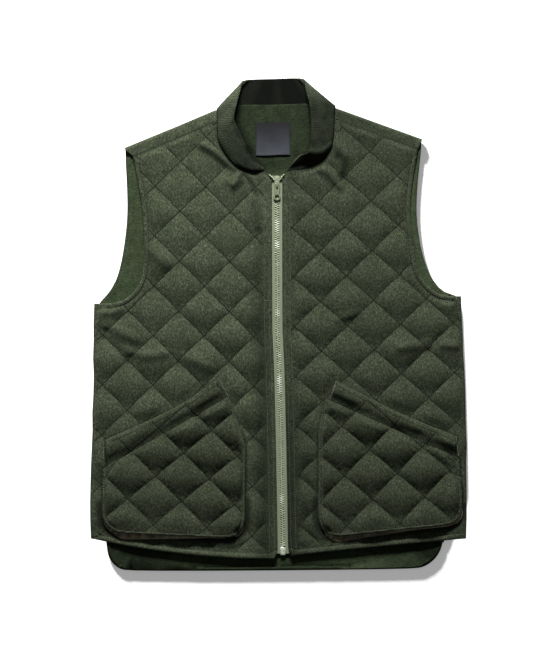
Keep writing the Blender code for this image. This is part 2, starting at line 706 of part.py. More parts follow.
def build_back(fronts, material, lining_material):
    shoulders = [Shoulder(side, fronts[side]) for side in SIDES]
    runs = []
    for side, shoulder in zip(SIDES, shoulders):
        opening, rest = back_side(side, WRAP_OUTSIDE - WRAP_INSIDE + 0.4, 0.0)
        opening = opening[shoulder.past(opening) < -2.0]
        runs.append(np.vstack([shoulder.strip(), opening, rest]))
    neck = back_neck(0.4, 1.2)
    loop = np.vstack([neck, runs[1], runs[0][::-1][1:]])
    bends = [line for shoulder in shoulders for line in shoulder.bends()]

    def place(points, heights):
        placed = np.column_stack([points, BACK_WALL - heights])
        for shoulder in shoulders:
            past = shoulder.past(points)
            angle = np.clip(past / FOLD_MIDDLE, 0.0, math.pi)
            radius = FOLD_OUTSIDE - BACK_WALL + heights
            out = radius * np.sin(angle) - np.maximum(past - FOLD_ARC, 0.0)
            turned = (past > 0.0) & ((points - shoulder.neck) @ shoulder.along > -1.5)
            flat = points - past[:, None] * shoulder.out + out[:, None] * shoulder.out
            placed[turned, :2] = flat[turned]
            placed[turned, 2] = (FOLD_OUTSIDE - radius * np.cos(angle))[turned]
        return placed

    wall("back_shell", material, loop, place, same_height(BACK_WALL), bends, (), bends)

    runs = []
    for side, shoulder in zip(SIDES, shoulders):
        opening, rest = back_side(side, WRAP_OUTSIDE + 0.6, 1.0)
        opening = opening[shoulder.past(opening) < -3.0]
        top = shoulder.neck - shoulder.out * (FOLD_OUTSIDE + 2.0)
        runs.append(np.vstack([top[None], opening, rest]))
    loop = np.vstack([back_neck(0.5, 8.0), runs[1], runs[0][::-1][1:]])
    wall("back_lining", lining_material, loop, flat_place(LINING_FLOOR), same_height(LINING_WALL))


def build_collar(material):
    """One rib-knit band lofted through the sections, ribs on the outer points only."""
    names = [row[0] for row in COLLAR_SECTIONS]
    rows = np.array([row[1:] for row in COLLAR_SECTIONS])
    middle = (rows[:, :3] + rows[:, 3:]) / 2
    stations, ribbed, inner = [], [], []
    for i in range(len(rows) - 1):
        at_back = names[i].endswith("back") and names[i + 1].endswith("back")
        folds = names[i].endswith(("turn", "fold")) or names[i + 1].endswith(("turn", "fold"))
        ribs = max(2, round(np.linalg.norm(middle[i + 1] - middle[i]) / RIB_PITCH))
        count = 4 if at_back else 2 * ribs
        step = 1 if at_back else 2 if folds else 2 * RIBS_PER_INNER_STEP
        for k in range(count):
            if k % step == 0 and (k == 0 or count - k >= step):
                inner.append(len(stations))
            stations.append(i + k / count)
            ribbed.append(0.0 if at_back else k % 2)
    inner.append(len(stations))
    stations.append(len(rows) - 1.0)
    ribbed.append(0.0)
    stations, ribbed = np.array(stations), np.array(ribbed, float)

    def loft(at):
        low = np.clip(np.floor(at).astype(int), 0, len(rows) - 2)
        t = (at - low)[:, None]
        padded = np.vstack([2 * rows[0] - rows[1], rows, 2 * rows[-1] - rows[-2]])
        before, start, end, after = (padded[low + k] for k in range(4))
        return 0.5 * (
            2 * start
            + (end - before) * t
            + (2 * before - 5 * start + 4 * end - after) * t**2
            + (3 * start - before - 3 * end + after) * t**3
        )

    def surface(at, share):
        found = loft(at)
        seam, edge = found[:, :3], found[:, 3:]
        return seam + (edge - seam) * share

    shares = np.linspace(0.0, 1.0, COLLAR_ROWS + 1)
    outer, lining = [], []
    for share in shares:
        point = surface(stations, share)
        around = surface(stations + 0.02, share) - surface(stations - 0.02, share)
        rise = surface(stations, 1.0) - surface(stations, 0.0)
        normal = np.cross(rise, around)
        normal /= np.linalg.norm(normal, axis=1)[:, None]
        front = smooth(loft(stations)[:, 2], 2.0, 6.4)
        bulge = COLLAR_BULGE * front * 4.0 * share * (1.0 - share)
        half = COLLAR_WALL / 2
        outer.append(point + normal * (half + bulge + RIB_HEIGHT * (ribbed - 0.5))[:, None])
        lining.append((point + normal * (bulge - half)[:, None])[inner])
    outer, lining = np.array(outer), np.array(lining)
    corners = np.vstack([outer.reshape(-1, 3), lining.reshape(-1, 3)])
    corners[:, 2] = np.maximum(corners[:, 2], 0.0)
    wide, narrow, base = len(stations), len(inner), outer.shape[0] * len(stations)
    faces = []
    for r in range(COLLAR_ROWS):
        for c in range(wide - 1):
            faces.append((r * wide + c, r * wide + c + 1, (r + 1) * wide + c + 1, (r + 1) * wide + c))
        for c in range(narrow - 1):
            a, b = base + r * narrow + c, base + (r + 1) * narrow + c
            faces.append((a, b, b + 1, a + 1))
        for c, d in ((0, 0), (wide - 1, narrow - 1)):
            a, b = r * wide + c, base + r * narrow + d
            faces.append((a, a + wide, b + narrow, b))
    for r in (0, COLLAR_ROWS):
        for c in range(narrow - 1):
            along = [r * wide + k for k in range(inner[c], inner[c + 1] + 1)]
            faces.append((*along, base + r * narrow + c + 1, base + r * narrow + c))
    make_object("collar", corners, faces, material)


def flat_place(floor, lift=None):
    """Cut points laid at a level, with a lift that may differ from place to place."""

    def place(points, heights):
        rise = 0.0 if lift is None else lift(points)
        return np.column_stack([points, floor + rise + heights])

    return place


def same_height(wall_height):
    return lambda points: np.full(len(points), wall_height)


def build_pocket(side, materials):
    """A slanted welt, a quilted pouch below it and the gusset under the pouch's edge."""
    corners = POCKETS[side]
    loop = rounded(corners, EDGE_STEP)
    mouth = np.array((corners[0][:2], corners[-1][:2]))
    foot = np.array((corners[1][:2], corners[2][:2]))
    sides = [np.array((corners[0][:2], corners[1][:2])), np.array((corners[2][:2], corners[3][:2]))]
    quilting = Quilting(f"pocket_{side}")

    def lift(points):
        ends = np.min([smooth(distance(points, line), 0.0, POUCH_LIFT_SIDE) for line in sides], axis=0)
        return POUCH_LIFT * ends * (1.0 - smooth(distance(points, foot), 0.0, POUCH_LIFT_REACH))

    def pouch_height(points):
        edge = distance(points, loop, True)
        turned_in = EDGE_ROLL * (1.0 - smooth(edge, 0.0, EDGE_STITCH - 1.0))
        turned_in -= EDGE_GROOVE * np.exp(-(((edge - EDGE_STITCH) / 2.0) ** 2))
        shows = smooth(edge, PUFF_START, PUFF_FULL)
        return FRONT_WALL + turned_in + QUILT_PUFF * quilting.puff(points) * shows

    def pouch_keeps(points):
        return inside(points, loop) & (distance(points, loop, True) > EDGE_STITCH + LINE_CLEAR)

    stitched = moved_loop(loop, -EDGE_STITCH)
    lines, pillow = quilting.layout(loop, pouch_keeps)
    lines.append(np.vstack([stitched, stitched[:1]]))
    along_foot = foot[0] + (foot[1] - foot[0]) * np.linspace(0.1, 0.9, 9)[:, None]
    lifted = [along_foot + np.array((0.0, share * POUCH_LIFT_REACH)) for share in LIFT_ROWS]
    pouch_place = flat_place(POUCH_FLOOR, lift)
    wall(f"pocket_pouch_{side}", materials["pouch"], loop, pouch_place, pouch_height, lines, pillow, lifted)

    upper = curve_through(WELT_LINE[side], EDGE_STEP)
    slope = (mouth[1] - mouth[0]) / np.linalg.norm(mouth[1] - mouth[0])
    down = np.array((slope[1], -slope[0])) * -SIGN[side]
    ends = mouth[0] + slope * WELT_END, mouth[1] - slope * WELT_END
    under = straight(ends[1], ends[0], EDGE_STEP) + down * WELT_UNDER
    welt_loop = np.vstack([upper, under])

    def welt_height(points):
        from_mouth = distance(points, under) - WELT_UNDER
        shows = smooth(distance(points, upper), *WELT_EDGE) * smooth(from_mouth, *WELT_EDGE)
        ends_in = smooth(distance(points, welt_loop, True), LINE_CLEAR, 10.0)
        return FRONT_WALL + WELT_PUFF * shows * ends_in * (0.35 + 0.65 * quilting.puff(points))

    def welt_keeps(points):
        shown = distance(points, under) > WELT_UNDER + 4.0
        return shown & inside(points, welt_loop) & (distance(points, welt_loop, True) > 4.0)

    welt_lines, welt_pillow = quilting.layout(welt_loop, welt_keeps)
    mouth_line = straight(ends[0], ends[1], EDGE_STEP / 2) - down * 2.0
    mouth_line = mouth_line[inside(mouth_line, welt_loop) & (distance(mouth_line, welt_loop, True) > 2.0)]
    welt_lines.append(mouth_line)
    wall(
        f"pocket_welt_{side}",
        materials["welt"],
        welt_loop,
        flat_place(POCKET_FLOOR),
        welt_height,
        welt_lines,
        welt_pillow,
    )

    path = kept_run(loop, distance(loop, mouth) > GUSSET_DEPTH + WELT_UNDER)
    along = np.gradient(path, axis=0)
    outward = np.stack([along[:, 1], -along[:, 0]], 1) / np.linalg.norm(along, axis=1)[:, None]
    outward *= np.where(inside(path[:1] + outward[:1], loop)[0], -1.0, 1.0)
    bottom = 1.0 - smooth(distance(path, foot), 4.0, 30.0)
    shown = path + outward * ((GUSSET_SHOWS[side] + 1.5) * bottom - 1.5)[:, None]
    hidden = path - outward * GUSSET_DEPTH
    gusset_place = flat_place(POCKET_FLOOR, lambda points: lift(points) * GUSSET_LIFT)
    gusset_loop = np.vstack([shown, hidden[::-1]])
    wall(f"pocket_gusset_{side}", materials["gusset"], gusset_loop, gusset_place, same_height(GUSSET_WALL))


def prism(loop, low, high):
    """An upright solid over an outline, as corners and faces."""
    count = len(loop)
    corners = [(x, y, z) for z in (low, high) for x, y in loop]
    faces = [tuple(range(count))[::-1], tuple(range(count, 2 * count))]
    faces += [(i, (i + 1) % count, count + (i + 1) % count, count + i) for i in range(count)]
    return corners, faces


def box_prism(x, y, low, high):
    """An upright box over x and y ranges."""
    return prism(((x[0], y[0]), (x[1], y[0]), (x[1], y[1]), (x[0], y[1])), low, high)


def ring(centre, radius, count):
    turn = np.arange(count) * 2 * math.pi / count
    return [(centre[0] + radius * math.cos(a), centre[1] + radius * math.sin(a)) for a in turn]


def combined(name, material, added, cut=(), origin=(0.0, 0.0, 0.0)):
    """One solid from prisms joined together, with others cut away, turning about its origin."""
    made = make_object(name, *added[0], material)
    for operation, prisms in (("UNION", added[1:]), ("DIFFERENCE", cut)):
        for corners, faces in prisms:
            tool = make_object(f"{name}_tool", corners, faces, material)
            change = made.modifiers.new("join", "BOOLEAN")
            change.operation, change.object, change.solver = operation, tool, "EXACT"
            result = made.evaluated_get(bpy.context.evaluated_depsgraph_get())
            mesh = bpy.data.meshes.new_from_object(result)
            made.modifiers.clear()
            made.data = mesh
            bpy.data.objects.remove(tool)
    made.data.name = name
    made.location = Vector(origin) * MM
    made.data.transform(Matrix.Translation(-made.location))
    return made


def build_zip(materials):
    """Two tapes, the closed chain, the slider with its pull tab, and the box at the foot."""
    box_top = ZIP_END - 2.0 + BOX_SIZE[1]
    spread_from = SLIDER_END + ZIP_SPREAD_FROM

    def inner_edge(y):
        spread = np.interp(y, (spread_from, ZIP_TOP), (0.0, ZIP_SPREAD))
        beside_box = np.where(y < box_top + 1.0, BOX_SIZE[0] / 2 - CHAIN_WIDTH / 2, 0.0)
        return CHAIN_WIDTH / 2 + SEAM_GAP + spread + beside_box

    along = np.linspace(*CHAIN_ROWS)
    levels = np.array([ZIP_END, box_top, box_top + 1.5, *along, spread_from, ZIP_TOP])
    for side in SIDES:
        sign = SIGN[side]
        near = np.stack([zip_x(levels) + sign * inner_edge(levels), levels], 1)
        far = np.stack([zip_x(levels) + sign * (ZIP_SHOWN + ZIP_UNDER), levels], 1)
        tape = np.vstack([near, far[::-1]])
        wall(f"zip_tape_{side}", materials["tape"], tape, flat_place(TAPE_FLOOR), same_height(TAPE_WALL))
    post_end = SLIDER_TOP - 1.0 - SLIDER_POST[1]
    rows = np.array([box_top + SEAM_GAP, *along, post_end - SEAM_GAP])
    left, right = (np.stack([zip_x(rows) + SIGN[side] * CHAIN_WIDTH / 2, rows], 1) for side in SIDES)
    chain = np.vstack([left, right[::-1]])
    wall("zip_chain", materials["chain"], chain, flat_place(CHAIN_FLOOR), same_height(CHAIN_WALL))

    x = float(zip_x(PULL_PIVOT_Y))
    wide, narrow = SLIDER_WIDE / 2, SLIDER_NARROW / 2
    waist = SLIDER_TOP - 8.0
    plate = rounded(
        (
            (x - narrow, SLIDER_END, 1.5),
            (x + narrow, SLIDER_END, 1.5),
            (x + narrow, waist, 2.0),
            (x + wide, SLIDER_TOP, 2.5),
            (x - wide, SLIDER_TOP, 2.5),
            (x - narrow, waist, 2.0),
        ),
        3.0,
    )
    floor = LINING_TOP + SEAM_GAP
    top_floor = CHAIN_FLOOR + CHAIN_WALL + SEAM_GAP
    top = top_floor + SLIDER_PLATE
    pivot_z = top + PULL_WALL / 2 + 0.4
    bar = pivot_z + PULL_WALL / 2 + 0.4
    post_half = SLIDER_POST[0] / 2
    bridge_x = (x - BRIDGE_WIDTH / 2, x + BRIDGE_WIDTH / 2)
    reach = BRIDGE_REACH + BRIDGE_WALL / 2
    feet = [PULL_PIVOT_Y + s * BRIDGE_REACH for s in (-1, 1)]
    feet = [(y - BRIDGE_WALL / 2, y + BRIDGE_WALL / 2) for y in feet]
    combined(
        "zip_slider",
        materials["hardware"],
        [
            prism(plate, top_floor, top),
            prism(plate, floor, floor + SLIDER_PLATE - 0.2),
            box_prism((x - post_half, x + post_half), (post_end, SLIDER_TOP - 1.0), floor + 0.3, top - 0.3),
            *(box_prism(bridge_x, foot_y, top - 0.4, bar + 0.4) for foot_y in feet),
            box_prism(bridge_x, (PULL_PIVOT_Y - reach, PULL_PIVOT_Y + reach), bar, bar + BRIDGE_WALL),
        ],
    )
    half_wall = PULL_WALL / 2
    ring_y = PULL_PIVOT_Y - PULL_LENGTH
    arm = PULL_WIDTH / 2
    blade = rounded(
        (
            (x - arm * 0.72, ring_y, 0.5),
            (x + arm * 0.72, ring_y, 0.5),
            (x + arm, PULL_PIVOT_Y - 4.0, 6.0),
            (x + arm, PULL_PIVOT_Y + half_wall, 0.5),
            (x - arm, PULL_PIVOT_Y + half_wall, 0.5),
            (x - arm, PULL_PIVOT_Y - 4.0, 6.0),
        ),
        4.0,
    )
    low, high = pivot_z - half_wall, pivot_z + half_wall
    window_x = (x - PULL_WINDOW[0] / 2, x + PULL_WINDOW[0] / 2)
    window_y = (PULL_PIVOT_Y - PULL_WINDOW[1], PULL_PIVOT_Y - half_wall)
    combined(
        "zip_pull",
        materials["pull"],
        [prism(blade, low, high), prism(ring((x, ring_y), PULL_RING, 24), low, high)],
        [
            box_prism(window_x, window_y, low - 1, high + 1),
            prism(ring((x, ring_y), PULL_HOLE, 20), low - 1, high + 1),
        ],
        (x, PULL_PIVOT_Y, pivot_z),
    )
    foot_x = float(zip_x(ZIP_END))
    box_half = BOX_SIZE[0] / 2
    box_floor = CHAIN_FLOOR + CHAIN_WALL / 2 - BOX_SIZE[2] / 2
    box_loop = rounded(
        (
            (foot_x - box_half, box_top - BOX_SIZE[1], 1.2),
            (foot_x + box_half, box_top - BOX_SIZE[1], 1.2),
            (foot_x + box_half, box_top, 0.8),
            (foot_x - box_half, box_top, 0.8),
        ),
        4.0,
    )
    wall("zip_box", materials["box"], box_loop, flat_place(box_floor), same_height(BOX_SIZE[2]))


def build_label(material):
    (x, y), (width, height) = LABEL_CENTRE, LABEL_SIZE
    foot = y - height / 2
    turns = ((-1, -1), (1, -1), (1, 1), (-1, 1))
    corners = [(x + a * width / 2, y + b * height / 2, LABEL_CORNER) for a, b in turns]
    loop = rounded(corners, EDGE_STEP)
    ends = x - width * 0.45, x + width * 0.45
    lines = [straight((ends[0], foot + up), (ends[1], foot + up), EDGE_STEP) for up in LABEL_BENDS]

    def curl(points):
        return LABEL_CURL * (1.0 - smooth(points[:, 1] - foot, 0.0, LABEL_BENDS[-1]))

    place = flat_place(LINING_TOP + SEAM_GAP, curl)
    wall("neck_label", material, loop, place, same_height(LABEL_WALL), lines, (), lines)


for old in list(bpy.data.objects):
    bpy.data.objects.remove(old)

wool = plain_material("wool_flannel", (0.055, 0.067, 0.041), 0.95)
wool_right = plain_material("wool_flannel_right", (0.055, 0.067, 0.041), 0.95)
fronts = {side: Front(side) for side in SIDES}
for side in SIDES:
    fronts[side].build(wool if side == "left" else wool_right)
build_back(
    fronts,
    plain_material("wool_back", (0.05, 0.06, 0.038), 0.95),
    plain_material("flannel_lining", (0.042, 0.052, 0.032), 0.95),
)
build_collar(plain_material("rib_knit", (0.05, 0.06, 0.042), 0.95))
for side in SIDES:
    build_pocket(
        side,
        {
            "pouch": plain_material(f"wool_pouch_{side}", (0.05, 0.06, 0.038), 0.95),
            "welt": plain_material(f"wool_welt_{side}", (0.05, 0.06, 0.038), 0.95),
            "gusset": plain_material(f"gusset_twill_{side}", (0.03, 0.026, 0.017), 0.9),
        },
    )
build_zip(
    {
        "tape": plain_material("zip_tape_weave", (0.2, 0.235, 0.15), 0.85),
        "chain": plain_material("zip_teeth", (0.22, 0.25, 0.17), 0.4),
        "hardware": plain_material("slider_paint", (0.22, 0.25, 0.17), 0.35, 0.4),
        "pull": plain_material("pull_paint", (0.22, 0.25, 0.17), 0.35, 0.4),
        "box": plain_material("box_metal", (0.4, 0.42, 0.36), 0.3, 0.8),
    }
)
build_label(plain_material("label_weave", (0.035, 0.038, 0.042), 0.7))
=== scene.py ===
"""Looks of a quilted wool gilet that lies flat on its back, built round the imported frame.

Lengths are in millimetres inside the sections and become metres when a mesh is made.
"""

import math

import bmesh
import bpy
import numpy as np
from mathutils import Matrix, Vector, noise
from mathutils.bvhtree import BVHTree


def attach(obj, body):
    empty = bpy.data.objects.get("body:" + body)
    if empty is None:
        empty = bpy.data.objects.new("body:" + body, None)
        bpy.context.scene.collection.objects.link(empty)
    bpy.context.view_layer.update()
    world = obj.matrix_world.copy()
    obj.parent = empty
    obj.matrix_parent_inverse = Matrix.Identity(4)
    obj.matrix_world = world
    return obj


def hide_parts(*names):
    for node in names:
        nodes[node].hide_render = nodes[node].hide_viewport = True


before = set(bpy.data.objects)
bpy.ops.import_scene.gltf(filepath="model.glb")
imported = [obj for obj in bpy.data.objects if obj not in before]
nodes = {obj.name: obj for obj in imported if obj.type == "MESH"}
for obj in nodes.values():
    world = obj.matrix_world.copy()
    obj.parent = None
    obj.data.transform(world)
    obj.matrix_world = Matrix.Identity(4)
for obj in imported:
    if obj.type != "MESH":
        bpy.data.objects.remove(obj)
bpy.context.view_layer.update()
scene = bpy.context.scene
MM = 0.001
SIGN = {"left": -1.0, "right": 1.0}

# The garment lies on a plain white table in soft studio light: one wide lamp for it low beyond the collar,
# another for the table at the upper left, and an even white surround. The camera looks straight down.
PHOTO_HEIGHT_PIXELS = 662
MM_PER_PIXEL = 1.46
PHOTO_MIDDLE = (-17.5, -8.0)
CLOTH_LEVEL = 8.0
CAMERA_HEIGHT = 4000.0
SENSOR = 36.0
LAMPS = {  # watts, width, height, place
    "garment": (250.0, 900.0, 420.0, (-150.0, 2500.0, 1230.0)),
    "table": (400.0, 440.0, 220.0, (-1050.0, 2490.0, 740.0)),
}
WHITE = (1.0, 1.0, 1.0, 1.0)
SURROUND_STRENGTH = 0.12
TABLE_WHITE = (0.9, 0.9, 0.9, 1.0)
TABLE_GLOW = 0.25
TABLE_HALF = 3000.0
TABLE_BELOW = 0.4
camera_data = bpy.data.cameras.new("camera")
camera_data.sensor_width = SENSOR
camera_data.lens = SENSOR * CAMERA_HEIGHT / (PHOTO_HEIGHT_PIXELS * MM_PER_PIXEL)
camera = bpy.data.objects.new("camera", camera_data)
camera.location = Vector((*PHOTO_MIDDLE, CLOTH_LEVEL + CAMERA_HEIGHT)) * MM
scene.collection.objects.link(camera)
scene.camera = camera
scene.view_settings.view_transform = "Standard"

lit_by, lamps = {}, {}
for name, (power, width, height, place) in LAMPS.items():
    lamp_data = bpy.data.lights.new(name + "_lamp", "AREA")
    lamp_data.shape = "RECTANGLE"
    lamp_data.size, lamp_data.size_y = width * MM, height * MM
    lamp_data.energy = power
    lamp = bpy.data.objects.new(name + "_lamp", lamp_data)
    lamp.location = Vector(place) * MM
    lamp.rotation_euler = (-lamp.location).to_track_quat("-Z", "Y").to_euler()
    scene.collection.objects.link(lamp)
    lit_by[name] = bpy.data.collections.new("lit_by_" + name + "_lamp")
    lamp.light_linking.receiver_collection = lit_by[name]
    lamps[name] = lamp
scene.world = bpy.data.worlds.new("studio")
scene.world.use_nodes = True
surround = scene.world.node_tree.nodes["Background"]
surround.inputs["Color"].default_value = WHITE
surround.inputs["Strength"].default_value = SURROUND_STRENGTH

table_build = bmesh.new()
bmesh.ops.create_grid(table_build, x_segments=2, y_segments=2, size=TABLE_HALF * MM)
bmesh.ops.translate(table_build, verts=table_build.verts, vec=(0.0, 0.0, -TABLE_BELOW * MM))
table_mesh = bpy.data.meshes.new("table")
table_build.to_mesh(table_mesh)
table_build.free()
table_material = bpy.data.materials.new("table_white")
table_material.use_nodes = True
table_shader = table_material.node_tree.nodes["Principled BSDF"]
table_shader.inputs["Base Color"].default_value = TABLE_WHITE
table_shader.inputs["Roughness"].default_value = 0.9
table_shader.inputs["Emission Color"].default_value = WHITE
table_shader.inputs["Emission Strength"].default_value = TABLE_GLOW
table_mesh.materials.append(table_material)
table = bpy.data.objects.new("table", table_mesh)
scene.collection.objects.link(table)
# One lamp lights the table alone, and the other lights everything but the table.
for lit in lit_by.values():
    lit.objects.link(table)
lit_by["garment"].collection_objects[0].light_linking.link_state = "EXCLUDE"

# The back is one piece of dark green melange wool flannel, turned forward over the shoulders and sewn to the
# fronts there. Its tail hangs lower than the fronts, with rounded corners and open vents at the sides.
WOOL_DARK = (0.018, 0.022, 0.013, 1.0)
WOOL_MIDDLE = (0.0385, 0.0468, 0.0282, 1.0)
WOOL_LIGHT = (0.096, 0.1095, 0.0755, 1.0)
# The colour that painted shade turns the wool to.
WOOL_PAINTED_SHADE = (0.006, 0.008, 0.005, 1.0)
BACK_WOOL = 0.95
EDGE_POINT_STEP = 3.5
SHARP = math.radians(50.0)
CORNER_TURN = math.radians(60.0)
STRIP_LEVEL = 6.0
STRIP_SHADE = 0.42
STRIP_REACH = 4.0
STRIP_ENDS = {"left": (-102.0, -91.0), "right": (92.0, 81.0)}  # x where a strip begins to reach, and its end
BACK_CREASES = (  # start x, start y, end x, end y, half width, depth
    (-150.0, 120.0, -60.0, 96.0, 9.0, 1.0),
    (40.0, -40.0, 150.0, -70.0, 11.0, 1.2),
    (-190.0, -150.0, -120.0, -190.0, 8.0, 0.8),
    (120.0, 190.0, 60.0, 150.0, 8.0, 0.9),
    (-30.0, -260.0, 60.0, -240.0, 10.0, 0.8),
)


def node(tree, kind, inputs, **settings):
    """A shader node with its settings, its inputs set to values or linked to sockets."""
    made = tree.nodes.new(f"ShaderNode{kind}")
    for name, value in settings.items():
        setattr(made, name, value)
    for name, value in inputs.items():
        if isinstance(value, bpy.types.NodeSocket):
            tree.links.new(value, made.inputs[name])
        else:
            made.inputs[name].default_value = value
    return made


def mixed(tree, factor, first, second, blend="MIX"):
    """A colour mixed from two colours or sockets."""
    inputs = {0: factor, 6: first, 7: second}
    return node(tree, "Mix", inputs, data_type="RGBA", blend_type=blend).outputs[2]


def ramp(tree, factor, *stops):
    """A colour ramp through stops of (place, colour)."""
    made = node(tree, "ValToRGB", {"Fac": factor})
    elements = made.color_ramp.elements
    while len(elements) < len(stops):
        elements.new(0.5)
    for element, (place, colour) in zip(elements, stops):
        element.position = place
        element.color = colour
    return made.outputs["Color"]


def grain(tree, size, stretch=1.0, turn=0.0, detail=2.0, roughness=0.6):
    """Noise with features of a size in millimetres, drawn out along a direction across the cloth."""
    place = node(tree, "TexCoord", {}).outputs["Object"]
    scale = 1.0 / (size * MM)
    turned = node(tree, "Mapping", {"Vector": place, "Rotation": (0.0, 0.0, math.radians(turn))})
    drawn = node(tree, "Mapping", {"Vector": turned.outputs[0], "Scale": (scale, scale / stretch, scale)})
    inputs = {"Vector": drawn.outputs[0], "Scale": 1.0, "Detail": detail, "Roughness": roughness}
    return node(tree, "TexNoise", inputs).outputs["Fac"]


def cloth_shader(name, roughness, sheen):
    """A new material with a dull, faintly downy surface, as its tree and its shader."""
    made = bpy.data.materials.new(name)
    made.use_nodes = True
    shader = made.node_tree.nodes["Principled BSDF"]
    shader.inputs["Roughness"].default_value = roughness
    shader.inputs["Specular IOR Level"].default_value = 0.04
    shader.inputs["Sheen Weight"].default_value = sheen
    shader.inputs["Sheen Roughness"].default_value = 0.55
    shader.inputs["Sheen Tint"].default_value = (0.62, 0.68, 0.52, 1.0)
    return made, made.node_tree, shader


def raised(tree, shader, height, strength, depth):
    """Relief on a shader from a height, depth in millimetres."""
    bump = node(tree, "Bump", {"Height": height, "Strength": strength, "Distance": depth * MM})
    tree.links.new(bump.outputs["Normal"], shader.inputs["Normal"])


def grey(level):
    return (level, level, level, 1.0)


def tinted(tree, colour, *tints):
    """A colour multiplied by tints."""
    for tint in tints:
        colour = mixed(tree, 1.0, colour, tint, "MULTIPLY")
    return colour


def colour_cloth(tree, shader, colour, dark):
    """Gives a shader its colour, darkened where shade is painted into it."""
    painted_shade = node(tree, "Attribute", {}, attribute_name="painted_shade").outputs["Fac"]
    tree.links.new(mixed(tree, painted_shade, colour, dark), shader.inputs["Base Color"])


def wool_flannel(name, lightness=1.0, turn=8.0):
    """Milled melange wool: dark and pale fibres blended, a soft twill, darkened by painted shade along its
    stitches and in its shaded places.
    """
    made, tree, shader = cloth_shader(name, 0.92, 0.02)
    fibres = grain(tree, 1.15, 2.6, turn, 3.0, 0.7)
    flecks = grain(tree, 2.2, 1.8, turn - 30.0, 2.0, 0.6)
    patches = grain(tree, 26.0, 1.0, 0.0, 3.0, 0.6)
    blend = ramp(tree, fibres, (0.34, WOOL_DARK), (0.52, WOOL_MIDDLE), (0.74, WOOL_LIGHT))
    pale = ramp(tree, flecks, (0.40, (0.74, 0.75, 0.74, 1.0)), (0.66, (1.30, 1.29, 1.26, 1.0)))
    clouds = ramp(tree, patches, (0.3, (0.86, 0.88, 0.86, 1.0)), (0.7, (1.12, 1.1, 1.12, 1.0)))
    colour_cloth(tree, shader, tinted(tree, blend, pale, clouds, grey(lightness)), WOOL_PAINTED_SHADE)
    raised(tree, shader, fibres, 0.55, 0.35)
    return made


def copied(name):
    """A merged copy of a CAD node's mesh."""
    build = bmesh.new()
    build.from_mesh(nodes[name].data)
    bmesh.ops.remove_doubles(build, verts=build.verts, dist=1e-6)
    build.faces.layers.int.new("outer")
    build.normal_update()
    return build


def rim_edges(build):
    return [e for e in build.edges if len(e.link_faces) == 2 and e.calc_face_angle() > SHARP]


def soften_outline(build, rounds=5):
    """Splits a wall's cut edges finely and eases their corners into curves, as seen from above."""
    for cuts in range(1, 40):
        low, high = (cuts + 0.5) * EDGE_POINT_STEP * MM, (cuts + 1.5) * EDGE_POINT_STEP * MM
        long = [e for e in rim_edges(build) if low <= e.calc_length() < high]
        if long:
            bmesh.ops.subdivide_edges(build, edges=long, cuts=cuts)
    build.normal_update()
    beside = {}
    for edge in rim_edges(build):
        for vert in edge.verts:
            beside.setdefault(vert, []).append(edge.other_vert(vert))
    eased = {}
    for vert, near in beside.items():
        if len(near) == 2:
            ways = [(other.co - vert.co).xy for other in near]
            if min(way.length for way in ways) > 1e-7 and math.pi - ways[0].angle(ways[1]) < CORNER_TURN:
                eased[vert] = near
    for _ in range(rounds):
        moved = {v: (v.co.xy + (a.co.xy + b.co.xy) / 2) / 2 for v, (a, b) in eased.items()}
        for vert, place in moved.items():
            vert.co.xy = place
    build.normal_update()


def smooth(value, low, high):
    """0 below low, 1 above high and an even S-curve between."""
    share = np.clip((np.asarray(value, float) - low) / (high - low), 0.0, 1.0)
    return share * share * (3.0 - 2.0 * share)


def bell(distance, width):
    """1 at no distance, falling away on both sides over a width."""
    return np.exp(-((distance / width) ** 2))


def from_line(points, *line):
    """How far points lie from a line of points, seen from above."""
    line = np.array(line, float)
    near = np.full(len(points), np.inf)
    for start, end in zip(line, line[1:]):
        along = end - start
        share = np.clip((points[:, :2] - start) @ along / (along @ along), 0.0, 1.0)
        near = np.minimum(near, np.linalg.norm(points[:, :2] - start - share[:, None] * along, axis=1))
    return near


def split_finely(build, fineness, quilt=None, cut=None):
    """Splits the marked faces until no edge is longer than the fineness, or half of it beside stitches."""
    mark = build.faces.layers.int["outer"]
    for _ in range(12):
        edges = dict.fromkeys(e for f in build.faces if f[mark] for e in f.edges)
        edges = [e for e in edges if e.calc_length() > fineness * MM / 2]
        limits = np.full(len(edges), fineness)
        if quilt and edges:
            middles = np.array([(e.verts[0].co.xy + e.verts[1].co.xy) / 2 for e in edges]) / MM
            beside = (from_stitches(middles, quilt).min(1) < STITCH_REACH) | (away(middles, cut) < SEWN_BAND)
            limits[beside] *= 0.5
        long = [e for e, limit in zip(edges, limits) if e.calc_length() > limit * MM]
        if not long:
            break
        bmesh.ops.subdivide_edges(build, edges=long, cuts=1, use_grid_fill=True)


def marked_points(mesh):
    """Which corners belong to the marked faces, and where all corners are, in millimetres."""
    places = np.zeros(len(mesh.vertices) * 3)
    mesh.vertices.foreach_get("co", places)
    marks = np.zeros(len(mesh.polygons), int)
    mesh.attributes["outer"].data.foreach_get("value", marks)
    corners = np.zeros(len(mesh.loops), int)
    mesh.loops.foreach_get("vertex_index", corners)
    totals = np.zeros(len(mesh.polygons), int)
    mesh.polygons.foreach_get("loop_total", totals)
    chosen = np.zeros(len(mesh.vertices), bool)
    chosen[corners[np.repeat(marks, totals) > 0]] = True
    return chosen, places.reshape(-1, 3) / MM


def set_points(mesh, places):
    mesh.vertices.foreach_set("co", (places * MM).astype(np.float32).ravel())
    mesh.update()


def as_mesh(build, name):
    bmesh.ops.triangulate(build, faces=[f for f in build.faces if len(f.verts) > 4])
    mesh = bpy.data.meshes.new(name)
    build.to_mesh(mesh)
    build.free()
    return mesh


